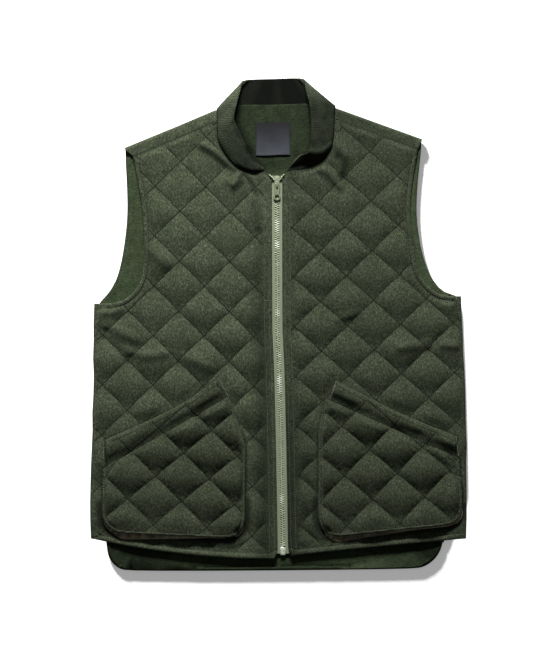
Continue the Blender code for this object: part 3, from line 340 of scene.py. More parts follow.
def put_on(mesh, material, body="garment"):
    """Makes a mesh an object that moves with a body of the garment."""
    mesh.shade_smooth()
    mesh.materials.clear()
    mesh.materials.append(material)
    for layer in ("outer", "custom_normal"):
        if layer in mesh.attributes:
            mesh.attributes.remove(mesh.attributes[layer])
    made = bpy.data.objects.new(mesh.name, mesh)
    scene.collection.objects.link(made)
    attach(made, body)
    return made


def under_area(name):
    """The flat area of a wall's plain inner face, in square metres."""
    build = copied(name)
    area = sum(f.calc_area() for f in build.faces if f.normal.z < -0.3)
    build.free()
    return area


def set_painted_shade(mesh, chosen, values):
    """Stores how much painted shade darkens the cloth at each chosen corner."""
    whole = np.zeros(len(mesh.vertices), np.float32)
    whole[chosen] = values
    mesh.attributes.new("painted_shade", "FLOAT", "POINT").data.foreach_set("value", whole)


def wall_sides(build):
    """The two broad faces of a wall, each as a list of mesh faces, parted by its cut edges."""
    sharp = set(rim_edges(build))
    left = dict.fromkeys(build.faces)
    regions = []
    while left:
        region = [left.popitem()[0]]
        for face in region:
            joined = dict.fromkeys(f for e in face.edges if e not in sharp for f in e.link_faces if f in left)
            region.extend(joined)
            for near in joined:
                del left[near]
        regions.append(region)
    regions.sort(key=lambda region: -sum(f.calc_area() for f in region))
    return regions[:2]


def ease_rim(build, faces, rows):
    """Rounds a wall's cut edge with rows of faces inside it, each row sunk by its own drop."""
    chosen = set(faces)
    sunk = []
    for width, drop in rows:
        rim = [e for f in faces for e in f.edges if sum(g in chosen for g in e.link_faces) == 1]
        for vert in dict.fromkeys(v for e in rim for v in e.verts):
            way = sum((f.normal for f in vert.link_faces if f in chosen), Vector())
            sunk.append((vert, way.normalized() * drop * MM))
        bmesh.ops.inset_region(build, faces=faces, thickness=width * MM, use_boundary=True)
    for vert, way in sunk:
        vert.co -= way


build = copied("back_shell")
soften_outline(build)
mark = build.faces.layers.int["outer"]
for faces in wall_sides(build):
    ease_rim(build, faces, ((0.25, 0.25), (0.4, 0.06), (0.8, 0.0)))
build.normal_update()
for face in build.faces:
    level = face.calc_center_median().z
    face[mark] = int(abs(face.normal.z) > 0.8 and (level < 1e-5 or level > STRIP_LEVEL * MM))
split_finely(build, 5.0)
mesh = as_mesh(build, "back_cloth")
under, places = marked_points(mesh)
for x0, y0, x1, y1, half_width, depth in BACK_CREASES:
    places[under, 2] += depth * bell(from_line(places[under], (x0, y0), (x1, y1)), half_width)
for side, (start, end) in STRIP_ENDS.items():
    at_neck = (places[:, 1] > 290.0) & (places[:, 2] > 3.2) & (np.abs(places[:, 0] - end) < 12.0)
    share = smooth(SIGN[side] * places[:, 0], *sorted((SIGN[side] * start, SIGN[side] * end)))
    places[at_neck, 0] -= (SIGN[side] * STRIP_REACH * (1.0 - share))[at_neck]
set_points(mesh, places)
# Painted shade darkens the right shoulder strip.
set_painted_shade(mesh, under, STRIP_SHADE * smooth(places[under, 0], 40.0, 90.0) * (places[under, 2] > STRIP_LEVEL))
back = put_on(mesh, wool_flannel("wool_back", BACK_WOOL))
mesh.set_sharp_from_angle(angle=SHARP)
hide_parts("back_shell")
under_area("back_shell")

# Green brushed flannel lines the back. It shows inside the neck, in the armholes and on the tail, where the
# wool is turned up over its lower edge as a narrow, slightly rippled hem.
FLANNEL_DARK = (0.0155, 0.023, 0.011, 1.0)
FLANNEL_LIGHT = (0.042, 0.058, 0.030, 1.0)
TOPSTITCH_GREEN = (0.10, 0.11, 0.08, 1.0)
LINING_TOP = 4.5
TAIL_HEM_WIDTH = 5.2
TAIL_TOP = -300.0
# NECK_SHADE, COLLAR_SHADOW and TAIL_SHADE are painted shade on the lining.
NECK_SHADE = 0.56
COLLAR_INSIDE = {  # the line that the collar's inner edge follows above the lining
    "left": ((-30.0, 232.0), (-40.9, 246.0), (-51.8, 268.6), (-62.8, 292.0), (-65.8, 302.5), (-58.0, 338.0)),
    "right": ((30.7, 246.6), (45.3, 254.0), (48.9, 283.0), (47.0, 317.0)),
}
COLLAR_SHADOW = {"left": (9.0, 0.4), "right": (4.0, 0.3)}  # width and depth of the shade beside it
TAIL_SHADE = ((0.0, 3.5, 7.0, 14.0, 30.0), (0.55, 0.4, 0.5, 0.3, 0.45))  # distance from the edge, shade
LINING_STITCH = 4.6
TOPSTITCH = 2.3
TOPSTITCH_PITCH = 3.7
TOPSTITCH_THREAD = 0.85
STITCH_SINK = 0.1


def flannel(name, dark, light):
    """Brushed flannel: an even nap with soft flecks."""
    made, tree, shader = cloth_shader(name, 0.95, 0.02)
    nap = grain(tree, 1.25, 3.2, 86.0, 3.0, 0.7)
    patches = grain(tree, 14.0, 1.0, 0.0, 2.0, 0.5)
    clouds = ramp(tree, patches, (0.3, grey(0.85)), (0.7, grey(1.12)))
    toned = tinted(tree, ramp(tree, nap, (0.36, dark), (0.66, light)), clouds)
    # Painted shade turns the flannel to a tenth of its colour.
    colour_cloth(tree, shader, toned, tinted(tree, toned, grey(0.1)))
    raised(tree, shader, nap, 0.5, 0.3)
    return made


def rippled(points, size, seed):
    """Smooth noise over points, from -1 to 1, with bumps of about a size."""
    return np.array([noise.noise((x / size, y / size, seed)) for x, y in points[:, :2]])


def upright(segments):
    """A tree of upright strips over line segments, for distances seen from above."""
    corners, faces = [], []
    for (ax, ay), (bx, by) in segments:
        first = len(corners)
        corners += [(ax, ay, -1.0), (bx, by, -1.0), (bx, by, 1.0), (ax, ay, 1.0)]
        faces.append((first, first + 1, first + 2, first + 3))
    return BVHTree.FromPolygons(corners, faces)


def away(points, segments):
    """How far points lie from line segments, seen from above."""
    tree = upright(segments)
    return np.array([tree.find_nearest((x, y, 0.0))[3] for x, y in points[:, :2]])


def amid_upward(face):
    """Whether all the faces round a face look upwards."""
    return all(f.normal.z > 0.5 for e in face.edges for f in e.link_faces if f is not face)


def untangle(build):
    """Evens out the places where rows of marked faces have folded over each other."""
    mark = build.faces.layers.int["outer"]
    for _ in range(12):
        build.normal_update()
        folded = dict.fromkeys(v for f in build.faces if f[mark] and f.normal.z < 0.05 for v in f.verts)
        inside = [v for v in folded if all(f[mark] for f in v.link_faces)]
        if not inside:
            break
        axes = {"use_axis_x": True, "use_axis_y": True, "use_axis_z": True}
        bmesh.ops.smooth_vert(build, verts=inside, factor=0.6, **axes)


def fine_wall(name, fineness, edge_rows, quilt=None):
    """A copy of a CAD wall with its outer face split finely and rows along its cut edge, and that edge."""
    build = copied(name)
    soften_outline(build)
    mark = build.faces.layers.int["outer"]
    outer = [f for f in build.faces if f.normal.z > 0.3 or amid_upward(f)]
    for face in outer:
        face[mark] = 1
    for row in edge_rows:
        ring = bmesh.ops.inset_region(build, faces=outer, thickness=row * MM, use_boundary=True)
        for face in ring["faces"]:
            face[mark] = 1
    cut = [e for e in build.edges if sum(f[mark] for f in e.link_faces) == 1]
    cut = np.array([[v.co.xy for v in e.verts] for e in cut]) / MM
    split_finely(build, fineness, quilt, cut)
    untangle(build)
    return as_mesh(build, name + "_cloth"), cut


def rounded_edge(distance, reach):
    """0 on a cut edge and 1 inside it, as a quarter round."""
    return np.sqrt(1.0 - (1.0 - np.clip(distance / reach, 0.0, 1.0)) ** 2)


def sewn_roll(distance, width):
    """The round rise of a turned edge, between the edge and its stitches."""
    return np.sin(math.pi * np.clip(distance / width, 0.0, 1.0)) ** 0.7


def thread(name, colour):
    """Twisted sewing thread."""
    made, tree, shader = cloth_shader(name, 0.6, 0.1)
    twist = grain(tree, 0.5, 2.0, 30.0)
    darker = tuple(0.6 * c for c in colour[:3]) + (1.0,)
    tree.links.new(ramp(tree, twist, (0.3, darker), (0.7, colour)), shader.inputs["Base Color"])
    return made


def surface_tree(*pieces):
    """A tree of finished pieces, to lay stitches on."""
    corners, faces = [], []
    for piece in pieces:
        first = len(corners)
        corners += [v.co for v in piece.data.vertices]
        faces += [[first + i for i in p.vertices] for p in piece.data.polygons]
    return BVHTree.FromPolygons(corners, faces)


def met_from_above(tree, x, y):
    """Where a plumb line from above meets a surface, in metres, or None."""
    return tree.ray_cast((x * MM, y * MM, 1.0), (0.0, 0.0, -1.0))[0]


def dashes(line, pitch, length):
    """Starts and ends of stitches along a line of points."""
    line = np.array(line, float)
    steps = np.linalg.norm(np.diff(line, axis=0), axis=1)
    along = np.concatenate([[0.0], np.cumsum(steps)])
    starts = np.arange(0.0, along[-1] - length, pitch)
    at = np.stack([starts, starts + length], 1)
    return np.stack([np.interp(at, along, line[:, k]) for k in (0, 1)], 2)


def topstitches(lines):
    """Starts and ends of the stitches of some seams."""
    return np.concatenate([dashes(line, TOPSTITCH_PITCH, TOPSTITCH) for line in lines])


def shape_of(build):
    """The points and the faces of a small shape that is repeated many times."""
    shape = np.array([v.co for v in build.verts]), [[v.index for v in f.verts] for f in build.faces]
    build.free()
    return shape


def joined(name, copies):
    """One mesh from copies of a small shape, each with its points in millimetres and its faces."""
    corners, faces = [], []
    for points, copy_faces in copies:
        faces += [[len(corners) + i for i in face] for face in copy_faces]
        corners += points.tolist()
    mesh = bpy.data.meshes.new(name)
    mesh.from_pydata((np.array(corners) * MM).tolist(), [], faces)
    return mesh


def sewn(name, pairs, tree, thick, material):
    """Stitches between pairs of points, laid on a surface from above, as one piece."""
    bead = bmesh.new()
    bmesh.ops.create_uvsphere(bead, u_segments=6, v_segments=5, radius=1.0)
    bead_points, bead_faces = shape_of(bead)
    beads = []
    for start, end in pairs:
        hits = [met_from_above(tree, x, y) for x, y in (start, end)]
        if None in hits:
            continue
        start, end = (np.array(hit) / MM for hit in hits)
        along = (end - start) / 2
        across = np.cross((0.0, 0.0, 1.0), along)
        across *= thick / 2 / np.linalg.norm(across)
        up = np.array((0.0, 0.0, thick * 0.42))
        middle = (start + end) / 2 + (0.0, 0.0, thick * 0.3 - STITCH_SINK)
        placed = middle + bead_points[:, 2:] * along + bead_points[:, :1] * across + bead_points[:, 1:2] * up
        beads.append((placed, bead_faces))
    put_on(joined(name, beads), material)


def stitch_line(segments, offset, inner_point):
    """A cut edge's segments as one line of points, moved in from the edge towards an inner point."""
    near = {}
    for first, second in segments:
        first, second = (tuple(np.round(end, 2)) for end in (first, second))
        near.setdefault(first, []).append(second)
        near.setdefault(second, []).append(first)
    runs = []
    left = set(near)
    while left:
        start = min(left, key=lambda point: len(near[point]))
        run = [start]
        while run[-1] in left:
            left.discard(run[-1])
            run += [point for point in near[run[-1]] if point in left][:1]
        runs.append(run)
    line = np.array(max(runs, key=len))
    for _ in range(8):
        line[1:-1] = (line[:-2] + 2.0 * line[1:-1] + line[2:]) / 4.0
    along = np.gradient(line, axis=0)
    inwards = np.stack([-along[:, 1], along[:, 0]], 1) / np.linalg.norm(along, axis=1)[:, None]
    middle = len(line) // 2
    if inwards[middle] @ (np.array(inner_point) - line[middle]) < 0.0:
        inwards = -inwards
    return line + offset * inwards


wool_thread = thread("topstitch_thread", TOPSTITCH_GREEN)
lining_flannel = flannel("flannel_lining", FLANNEL_DARK, FLANNEL_LIGHT)
mesh, cut = fine_wall("back_lining", 4.5, (0.5, 0.8))
top, places = marked_points(mesh)
points = places[top]
edge = away(points, cut)
on_tail = 1.0 - smooth(points[:, 1], TAIL_TOP - 20.0, TAIL_TOP)
hem_line = TAIL_HEM_WIDTH + 0.9 * rippled(points, 26.0, 3.0)
groove = bell(edge - hem_line, 1.1)
height = 0.45 + 0.55 * rounded_edge(edge, 1.1)
height = LINING_TOP - 1.2 + 1.2 * height + on_tail * (0.8 * sewn_roll(edge, hem_line) - 0.7 * groove)
height += 0.7 * on_tail * rippled(points, 30.0, 5.0) * smooth(edge, 4.0, 12.0)
places[top, 2] = height + 0.12 * rippled(points, 22.0, 1.0)
set_points(mesh, places)
# Painted shade darkens the lining in the neck, beside the collar's inner edges, on the tail and in its hem
# groove.
in_neck = smooth(points[:, 1], 205.0, 235.0) * (1.0 - smooth(np.abs(points[:, 0]), 95.0, 110.0))
tail = np.interp(edge, *TAIL_SHADE) + 0.25 * smooth(np.abs(points[:, 0]), 130.0, 200.0)
shaded = on_tail * np.maximum(tail + 0.15 * rippled(points, 30.0, 5.0), 0.9 * groove)
neck = NECK_SHADE + 0.12 * rippled(points, 16.0, 6.0) + 0.1 * rippled(points, 5.0, 8.0)
for side, line in COLLAR_INSIDE.items():
    width, depth = COLLAR_SHADOW[side]
    neck += depth * bell(from_line(points, *line), width)
set_painted_shade(mesh, top, np.maximum(shaded, np.minimum(neck, 1.0) * in_neck))
lining = put_on(mesh, lining_flannel)
# Only the back and its lining cast the table lamp's shadow.
on_table = bpy.data.collections.new("on_table")
for piece in (back, lining):
    on_table.objects.link(piece)
lamps["table"].light_linking.blocker_collection = on_table
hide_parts("back_lining")
under_area("back_lining")
middle = cut.mean(1)
lines = []
for sign in SIGN.values():
    at_armhole = (sign * middle[:, 0] > 180.0) & (middle[:, 1] > 40.0) & (middle[:, 1] < 280.0)
    lines.append(stitch_line(cut[at_armhole], LINING_STITCH, (sign * 100.0, 150.0)))
tree = surface_tree(lining)
sewn("lining_topstitching", topstitches(lines), tree, TOPSTITCH_THREAD, wool_thread)

# Each front is wool flannel quilted in diamonds over a thin wadding. The quilting is sewn through with dark
# thread, the armhole, hem and zip edges are turned in and topstitched, and the side wraps down to the back.
FRONT_FLOOR = 4.8
FRONT_WALL = 2.2
PUFF = 5.4
PUFF_POWER = 0.95
PUCKER = 0.55
QUILT = {  # crossing x, crossing y, half width, half height, tilt in degrees
    "front_left": (-143.8, 167.2, 36.8, 36.4, -0.7),
    "front_right": (135.0, 182.2, 38.7, 36.2, 1.4),
    "pocket_left": (-138.3, -185.9, 39.0, 35.5, -3.0),
    "pocket_right": (132.7, -180.7, 38.4, 36.4, 3.0),
}
CREASE_SHADOW = (2.0, -6.0)
CREASES = (  # front, half width, height, shade beside it, then the points that the crease runs through
    ("left", 5.5, 3.0, 0.8, (-112.0, 264.0), (-97.0, 256.0), (-83.0, 245.0), (-67.0, 234.0)),
    ("left", 4.2, 1.8, 0.68, (-54.0, 228.0), (-60.0, 214.0), (-66.0, 205.0)),
    ("left", 4.4, 0.9, 0.38, (-79.0, 214.0), (-67.0, 205.0), (-53.0, 213.0)),
    ("left", 4.2, 1.6, 0.55, (-46.0, 226.0), (-39.0, 210.0), (-34.0, 199.0)),
    ("left", 5.5, 1.4, 0.46, (-38.0, 188.0), (-32.0, 164.0), (-30.0, 146.0)),
    ("left", 8.0, 2.0, 0.3, (-190.0, 110.0), (-163.0, 90.0)),
    ("left", 6.0, 1.8, 0.3, (-253.0, 22.0), (-232.0, 25.0)),
    ("left", 7.0, 2.0, 0.36, (-250.0, 0.0), (-236.0, -6.0), (-210.0, -20.0)),
    ("left", 6.5, 2.2, 0.36, (-220.0, -38.0), (-193.5, -44.0), (-164.0, -40.0)),
    ("left", 7.0, 1.5, 0.28, (-142.0, -44.0), (-122.0, -51.0), (-106.0, -59.0)),
    ("right", 7.0, 2.6, 0.6, (82.0, 262.0), (95.0, 247.0), (92.0, 226.0)),
    ("right", 5.0, 1.9, 0.5, (58.0, 230.0), (73.0, 222.0), (88.0, 204.0)),
    ("right", 6.0, 2.2, 0.34, (240.0, -28.0), (271.0, -31.0)),
    ("right", 7.0, 2.1, 0.3, (178.0, -32.0), (216.0, -27.0)),
    ("right", 7.0, 1.6, 0.24, (88.0, 10.0), (116.0, 18.0)),
)
# Painted shade beside the pocket and below the pouch.
BESIDE_POCKET = ((-170.0, -120.0), (0.75, 0.4), (2.6, 1.1))  # y, then shade and reach of its shadow line
POUCH_FOOT = -262.0
POUCH_SHADOW = 9.0
# Painted shade laid over each front by height.
FRONT_SHADE = {  # y, then how much the front darkens there
    "left": ((-300.0, -100.0), (0.03, 0.0)),
    "right": ((-300.0, -150.0, -60.0, 210.0, 262.0), (0.2, 0.17, 0.02, 0.0, 0.22)),
}
# Painted shade beside the zip.
ZIP_SHADE = {  # y, then how much a front darkens beside the zip, and how far from it and how widely
    "left": (
        (-280.0, -226.0, -160.0, -87.0, -7.0, 81.0, 150.0),
        (0.58, 0.62, 0.58, 0.54, 0.54, 0.42, 0.0),
        17.0,
        15.0,
    ),
    "right": ((-226.0, -160.0, -87.0, 0.0), (0.5, 0.42, 0.22, 0.0), 1.0, 17.0),
}
DEEPEST_SHADE = 0.7
# The right front's wool is a darker copy of the left's, as painted shade.
FRONT_WOOL = {"left": (1.0, 8.0), "right": (0.82, 12.0)}  # lightness, and the grain's turn in degrees
FRONT_SEEDS = {"left": 11, "right": 23}
FRONT_FINENESS = 3.3
FRONT_ROWS = (0.4, 0.6, 0.9, 1.6)
PLUMPER = {"left": 1.04, "right": 1.12}
SEWN_BAND = 6.0
ARMHOLE_STITCH = 6.0
# Painted shade in the armhole's sewn-down groove.
ARMHOLE_SHADE = ((60.0, 110.0), (0.75, 0.4))  # y, then how dark the sewn-down groove is
NECK_REACH = 1.5
NECK_MIDDLE = (-5.0, 292.0)
# Painted shade below the collar and at its sides.
NECK_SHADE_BESIDE = {"left": (0.75, 0.6), "right": (0.7, 0.15)}  # below the collar, and at its sides
HEM_STITCH = 7.2
ZIP_STITCHES = (4.2, 11.4)
PLACKET_RISE = 3.0
HEM_LIFT = 3.6
CHEST_PLUMP = ((-80.0, 80.0, 240.0), (1.0, 0.78, 0.5))  # y, then share of the puff
SHOULDER_RISE = 0.85
SHOULDER_WAY = (0.39, 0.92)
SEAM_REACH = 0.9
POCKET_SHARE = 0.45
POCKET_FADE = 16.0
STITCH_REACH = 1.9
QUILT_STITCH = 3.1
QUILT_PITCH = 3.4
QUILT_THREAD = 1.05
QUILT_GREEN = (0.008, 0.009, 0.006, 1.0)

chain_points = np.array([v.co for v in nodes["zip_chain"].data.vertices]) / MM
chain_levels = np.unique(np.round(chain_points[:, 1]))
chain_middles = [chain_points[np.abs(chain_points[:, 1] - level) < 1.0, 0].mean() for level in chain_levels]


def zip_x(y):
    """The zip's middle line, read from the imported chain."""
    return np.interp(y, chain_levels, chain_middles)


def lattice(points, quilt):
    """Points as counts of diamonds along the two stitch directions."""
    x, y, half_width, half_height, tilt = QUILT[quilt]
    turn = math.radians(tilt)
    across = (points[:, 0] - x) * math.cos(turn) + (points[:, 1] - y) * math.sin(turn)
    up = (points[:, 1] - y) * math.cos(turn) - (points[:, 0] - x) * math.sin(turn)
    across, up = across / half_width / 2, up / half_height / 2
    return np.stack([across + up, across - up], 1)


def lattice_points(counts, quilt):
    """The points at counts of diamonds along the two stitch directions."""
    x, y, half_width, half_height, tilt = QUILT[quilt]
    turn = math.radians(tilt)
    across = (counts[:, 0] + counts[:, 1]) * half_width
    up = (counts[:, 0] - counts[:, 1]) * half_height
    found_x = x + across * math.cos(turn) - up * math.sin(turn)
    found_y = y + across * math.sin(turn) + up * math.cos(turn)
    return np.stack([found_x, found_y], 1)


def from_stitches(points, quilt):
    """How far points lie from the nearest stitch line of each direction."""
    share = lattice(points, quilt) % 1.0
    return np.minimum(share, 1.0 - share) * math.hypot(*QUILT[quilt][2:4])


def quilted(points, quilt, seed):
    """The height of the quilting, and how far points lie from its stitches."""
    counts = lattice(points, quilt)
    share = counts % 1.0
    side = math.hypot(*QUILT[quilt][2:4])
    from_stitch = from_stitches(points, quilt)
    pillow = np.prod(np.clip(4.0 * share * (1.0 - share), 0.0, 1.0), axis=1) ** PUFF_POWER
    plump = np.random.default_rng(seed).uniform(0.8, 1.15, (64, 64))
    cell = np.floor(counts).astype(int) % 64
    pillow *= plump[cell[:, 0], cell[:, 1]]
    pucker = np.zeros(len(points))
    for way, near in enumerate(from_stitch.T):
        line = np.round(counts[:, way])
        along = counts[:, 1 - way] * side
        wave = [noise.noise((s / 4.2, d / 16.0, n * 7.3 + seed)) for s, d, n in zip(along, near, line)]
        pucker += np.array(wave) * np.exp(-near / 7.0) * smooth(near, 0.0, 2.0)
    return PUFF * pillow + PUCKER * pucker, from_stitch.min(1)


def covered_by(points, *names):
    """Whether points lie under CAD nodes, seen from above."""
    found = np.zeros(len(points), bool)
    for name in names:
        mesh = nodes[name].data
        tree = BVHTree.FromPolygons([v.co for v in mesh.vertices], [p.vertices for p in mesh.polygons])
        found |= [met_from_above(tree, x, y) is not None for x, y in points[:, :2]]
    return found


def outline_of(name):
    """The cut edge of a CAD wall seen from above, as segments."""
    build = copied(name)
    cut = [e for e in build.edges if sum(f.normal.z > 0.3 for f in e.link_faces) == 1]
    cut = np.array([[v.co.xy for v in e.verts] for e in cut]) / MM
    build.free()
    return cut


def quilt_dashes(quilt, low, high):
    """Starts and ends of the quilting stitches over a box."""
    side = math.hypot(*QUILT[quilt][2:4])
    box = np.array([(x, y) for x in (low[0], high[0]) for y in (low[1], high[1])])
    counts = lattice(box, quilt)
    least, most = np.floor(counts.min(0)), np.ceil(counts.max(0))
    found = []
    for way in (0, 1):
        for number in np.arange(least[way], most[way] + 1):
            starts = np.arange(least[1 - way], most[1 - way], QUILT_PITCH / side)
            ends = starts + QUILT_STITCH / side
            pair = []
            for at in (starts, ends):
                line = np.empty((len(at), 2))
                line[:, way] = number
                line[:, 1 - way] = at
                pair.append(lattice_points(line, quilt))
            found.append(np.stack(pair, 1))
    return np.concatenate(found)


dark_thread = thread("quilting_thread", QUILT_GREEN)
fronts = {}
for side, sign in SIGN.items():
    name = f"front_{side}"
    pocket = [f"pocket_{part}_{side}" for part in ("pouch", "welt")]
    mesh, cut = fine_wall(name, FRONT_FINENESS, FRONT_ROWS, name)
    outer, places = marked_points(mesh)
    points = places[outer]
    middle = cut.mean(1)
    at_zip = np.abs(middle[:, 0] - zip_x(middle[:, 1])) < 10.0
    at_hem = (middle[:, 1] < -300.0) & ~at_zip
    at_side = (sign * middle[:, 0] > 262.0) & (middle[:, 1] < 30.0) & ~at_hem
    at_shoulder = (sign * middle[:, 0] > 91.0) & (middle[:, 1] > 240.0)
    at_armhole = (sign * middle[:, 0] > 180.0) & (middle[:, 1] > 20.0) & ~at_shoulder
    at_neck = (middle[:, 1] > 222.0) & ~at_shoulder & ~at_armhole & ~at_zip
    from_zip, from_hem = away(points, cut[at_zip]), away(points, cut[at_hem])
    from_side, from_armhole = away(points, cut[at_side]), away(points, cut[at_armhole])
    from_cut = away(points, cut[~at_side])
    pocket_edge = np.concatenate([outline_of(part) for part in pocket])
    clear = away(points, pocket_edge) * np.where(covered_by(points, *pocket), -1.0, 1.0)

    # The cloth rises with the quilting, the creases and the sewn bands, and lifts at the hem and the zip.
    lift = HEM_LIFT * (1.0 - smooth(from_hem, 0.0, 20.0)) * smooth(from_side, 0.0, 70.0)
    rise = PLACKET_RISE * (1.0 - smooth(from_zip, 8.0, 22.0))
    quilting, from_stitch = quilted(points, name, FRONT_SEEDS[side])
    beside_pocket = POCKET_SHARE + (1.0 - POCKET_SHARE) * smooth(clear, 0.0, POCKET_FADE)
    beside_pocket *= smooth(clear, -4.0, 0.0)
    shows = beside_pocket.copy()
    shows *= smooth(from_armhole, ARMHOLE_STITCH - 1.0, 16.0) * smooth(from_hem, HEM_STITCH - 1.0, 22.0)
    shows *= smooth(from_zip, ZIP_STITCHES[1] - 2.0, 24.0) * smooth(from_cut, 1.0, 9.0)
    folds, hollows = np.zeros(len(points)), np.zeros(len(points))
    for panel, half_width, height, shade, *path in CREASES:
        if panel == side:
            below = np.array(path) + CREASE_SHADOW
            folds += height * bell(from_line(points, *path), half_width)
            hollows += shade * bell(from_line(points, *below), half_width)
    folds *= beside_pocket * smooth(from_cut, 2.0, 9.0)
    plump = np.interp(points[:, 1], *CHEST_PLUMP)
    raised_part = np.maximum(PLUMPER[side] * quilting * plump * shows + folds, -1.4)
    raised_part += 0.7 * rippled(points, 60.0, 2.0 * sign) * shows
    bands = 0.0
    for distance, width, roll in ((from_armhole, ARMHOLE_STITCH, 0.9), (from_hem, HEM_STITCH, 0.7)):
        bands += roll * sewn_roll(distance, width) - 0.7 * bell(distance - width, 1.2)
    for stitch in ZIP_STITCHES:
        bands -= 0.5 * bell(from_zip - stitch, 1.2)
    bands += 0.3 * rippled(points, 6.0, 9.0 * sign) * np.exp(-from_cut / 8.0) * smooth(from_cut, 0.5, 3.0)
    from_shoulder = away(points, cut[at_shoulder])
    wall = FRONT_WALL * (0.45 + 0.55 * rounded_edge(from_cut, 1.8))
    seam = FRONT_WALL * (0.8 + 0.2 * rounded_edge(from_shoulder, 0.6))
    wall = np.where(from_shoulder < np.minimum(from_cut + 0.1, 3.0), seam, wall)
    wall += SHOULDER_RISE * (1.0 - smooth(from_shoulder, 4.0, 30.0))
    height = FRONT_FLOOR + np.maximum(lift, rise) + wall + raised_part + bands
    kept = 1.0 - smooth(from_side, 3.0, 12.0)
    places[outer, 2] = height + (places[outer, 2] - height) * kept
    reach = SEAM_REACH * (1.0 - smooth(from_shoulder, 0.0, 3.0)) * smooth(from_armhole, 1.0, 6.0)
    places[outer, :2] += reach[:, None] * np.array((sign * SHOULDER_WAY[0], SHOULDER_WAY[1]))
    from_neck = away(points, cut[at_neck])
    inwards = np.array(NECK_MIDDLE) - points[:, :2]
    inwards /= np.linalg.norm(inwards, axis=1)[:, None]
    places[outer, :2] += NECK_REACH * (1.0 - smooth(from_neck, 0.0, 5.0))[:, None] * inwards
    set_points(mesh, places)

    # Painted shade darkens it along its stitches and seams, below its creases, and beside the collar, pocket
    # and zip.
    in_quilting = smooth(from_armhole, 5.0, 7.0) * smooth(from_hem, 7.0, 9.0) * smooth(from_zip, 10.0, 12.0)
    in_quilting *= smooth(clear, 1.0, 3.0)
    at_quilting = 0.45 * bell(from_stitch, 0.8) * in_quilting
    below, beside = NECK_SHADE_BESIDE[side]
    at_collar = (below + (beside - below) * smooth(points[:, 1], 238.0, 258.0)) * bell(from_neck, 2.5)
    at_seam = 0.85 * bell(from_shoulder, 2.0)
    levels, shades, reaches = BESIDE_POCKET
    shade, reach = (np.interp(points[:, 1], levels, values) for values in (shades, reaches))
    at_pocket = shade * bell(clear, reach)
    foot = pocket_edge[pocket_edge[:, :, 1].mean(1) < POUCH_FOOT]
    below_pouch = 0.9 * np.exp(-((away(points, foot) / POUCH_SHADOW) ** 4)) * smooth(from_hem, 5.0, 8.0)
    groove = np.interp(points[:, 1], *ARMHOLE_SHADE) * bell(from_armhole - ARMHOLE_STITCH - 0.4, 1.3)
    levels, shades, zip_gap, width = ZIP_SHADE[side]
    hollows += np.interp(points[:, 1], levels, shades) * bell(from_zip - zip_gap, width)
    hollows = np.minimum(hollows + np.interp(points[:, 1], *FRONT_SHADE[side]), DEEPEST_SHADE) * beside_pocket
    shades = [at_quilting, at_collar, at_seam, at_pocket, below_pouch, groove, hollows]
    set_painted_shade(mesh, outer, np.maximum.reduce(shades))
    front = put_on(mesh, wool_flannel(f"wool_front_{side}", *FRONT_WOOL[side]))
    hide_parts(name)
    under_area(name)
    fronts[side] = front

    tree = surface_tree(front)
    stitches = quilt_dashes(name, points.min(0), points.max(0))
    ends = stitches.reshape(-1, 2)
    clear_ends = ~covered_by(ends, *pocket)
    for part, least in ((~at_side, 5.0), (at_hem, 8.0), (at_zip, ZIP_STITCHES[1]), (at_side, 4.0)):
        clear_ends &= away(ends, cut[part]) > least
    stitches = stitches[clear_ends.reshape(-1, 2).all(1)]
    sewn(f"front_{side}_quilting", stitches, tree, QUILT_THREAD, dark_thread)

    inner_point = (sign * 130.0, 100.0)
    lines = [(at_armhole, ARMHOLE_STITCH - 0.6), (at_hem, HEM_STITCH - 0.6)]
    lines += [(at_zip, stitch) for stitch in ZIP_STITCHES]
    lines = [stitch_line(cut[part], offset, inner_point) for part, offset in lines]
    sewn(f"front_{side}_topstitching", topstitches(lines), tree, TOPSTITCH_THREAD, wool_thread)

# Each pocket is a quilted wool pouch laid on the front over a folded brown twill gusset, which peeps out
# below it. A slanted wool welt with a soft ridge runs along its mouth and is tacked down at both ends.
POCKET_FLOOR = 7.3
GUSSET_DROP = {  # x, then how much further the folded edges hang out below the pouch
    "left": ((-248.0, -226.0, -152.0, -100.0), (0.0, 6.5, 2.0, -2.0)),
    "right": ((62.0, 90.0, 140.0, 175.0), (0.0, 5.0, 1.0, -2.0)),
}
GUSSET_SHOWS = 3.4
UPPER_FOLD = 1.6
FOLD_LINE = 0.8
POUCH_FLOOR = 9.8
POUCH_LIFT = 3.4
POUCH_ROLL = 3.2
POUCH_PUFF = 1.4
POUCH_STITCHES = {"left": (2.9,), "right": (2.9, 6.4)}
POCKETS = {  # mouth low end, mouth high end, foot outer corner, foot inner corner
    "left": ((-257.0, -209.0), (-72.0, -103.5), (-258.6, -301.5), (-49.0, -311.0)),
    "right": ((264.0, -194.0), (68.5, -106.5), (270.6, -288.5), (57.6, -310.5)),
}
WELT_LINE = {  # the welt's upper edge, from its low end
    "left": ((-254.0, -167.0), (-150.0, -119.0), (-87.0, -76.0)),
    "right": ((261.0, -162.0), (172.0, -125.0), (84.0, -80.0)),
}
WELT_WAVES = {  # place from the low end, half width, height
    "left": ((0.22, 16.0, 1.2), (0.52, 14.0, -0.9), (0.8, 14.0, 1.0)),
    "right": ((0.12, 10.0, 1.3), (0.3, 9.0, -1.4), (0.48, 12.0, 1.5), (0.68, 9.0, -1.3), (0.84, 9.0, 1.2)),
}
WELT_RIDGE = 2.7
WELT_LIFT = 0.9
WELT_STITCH = 6.4
WELT_SEED, POUCH_SEED = 31, 47
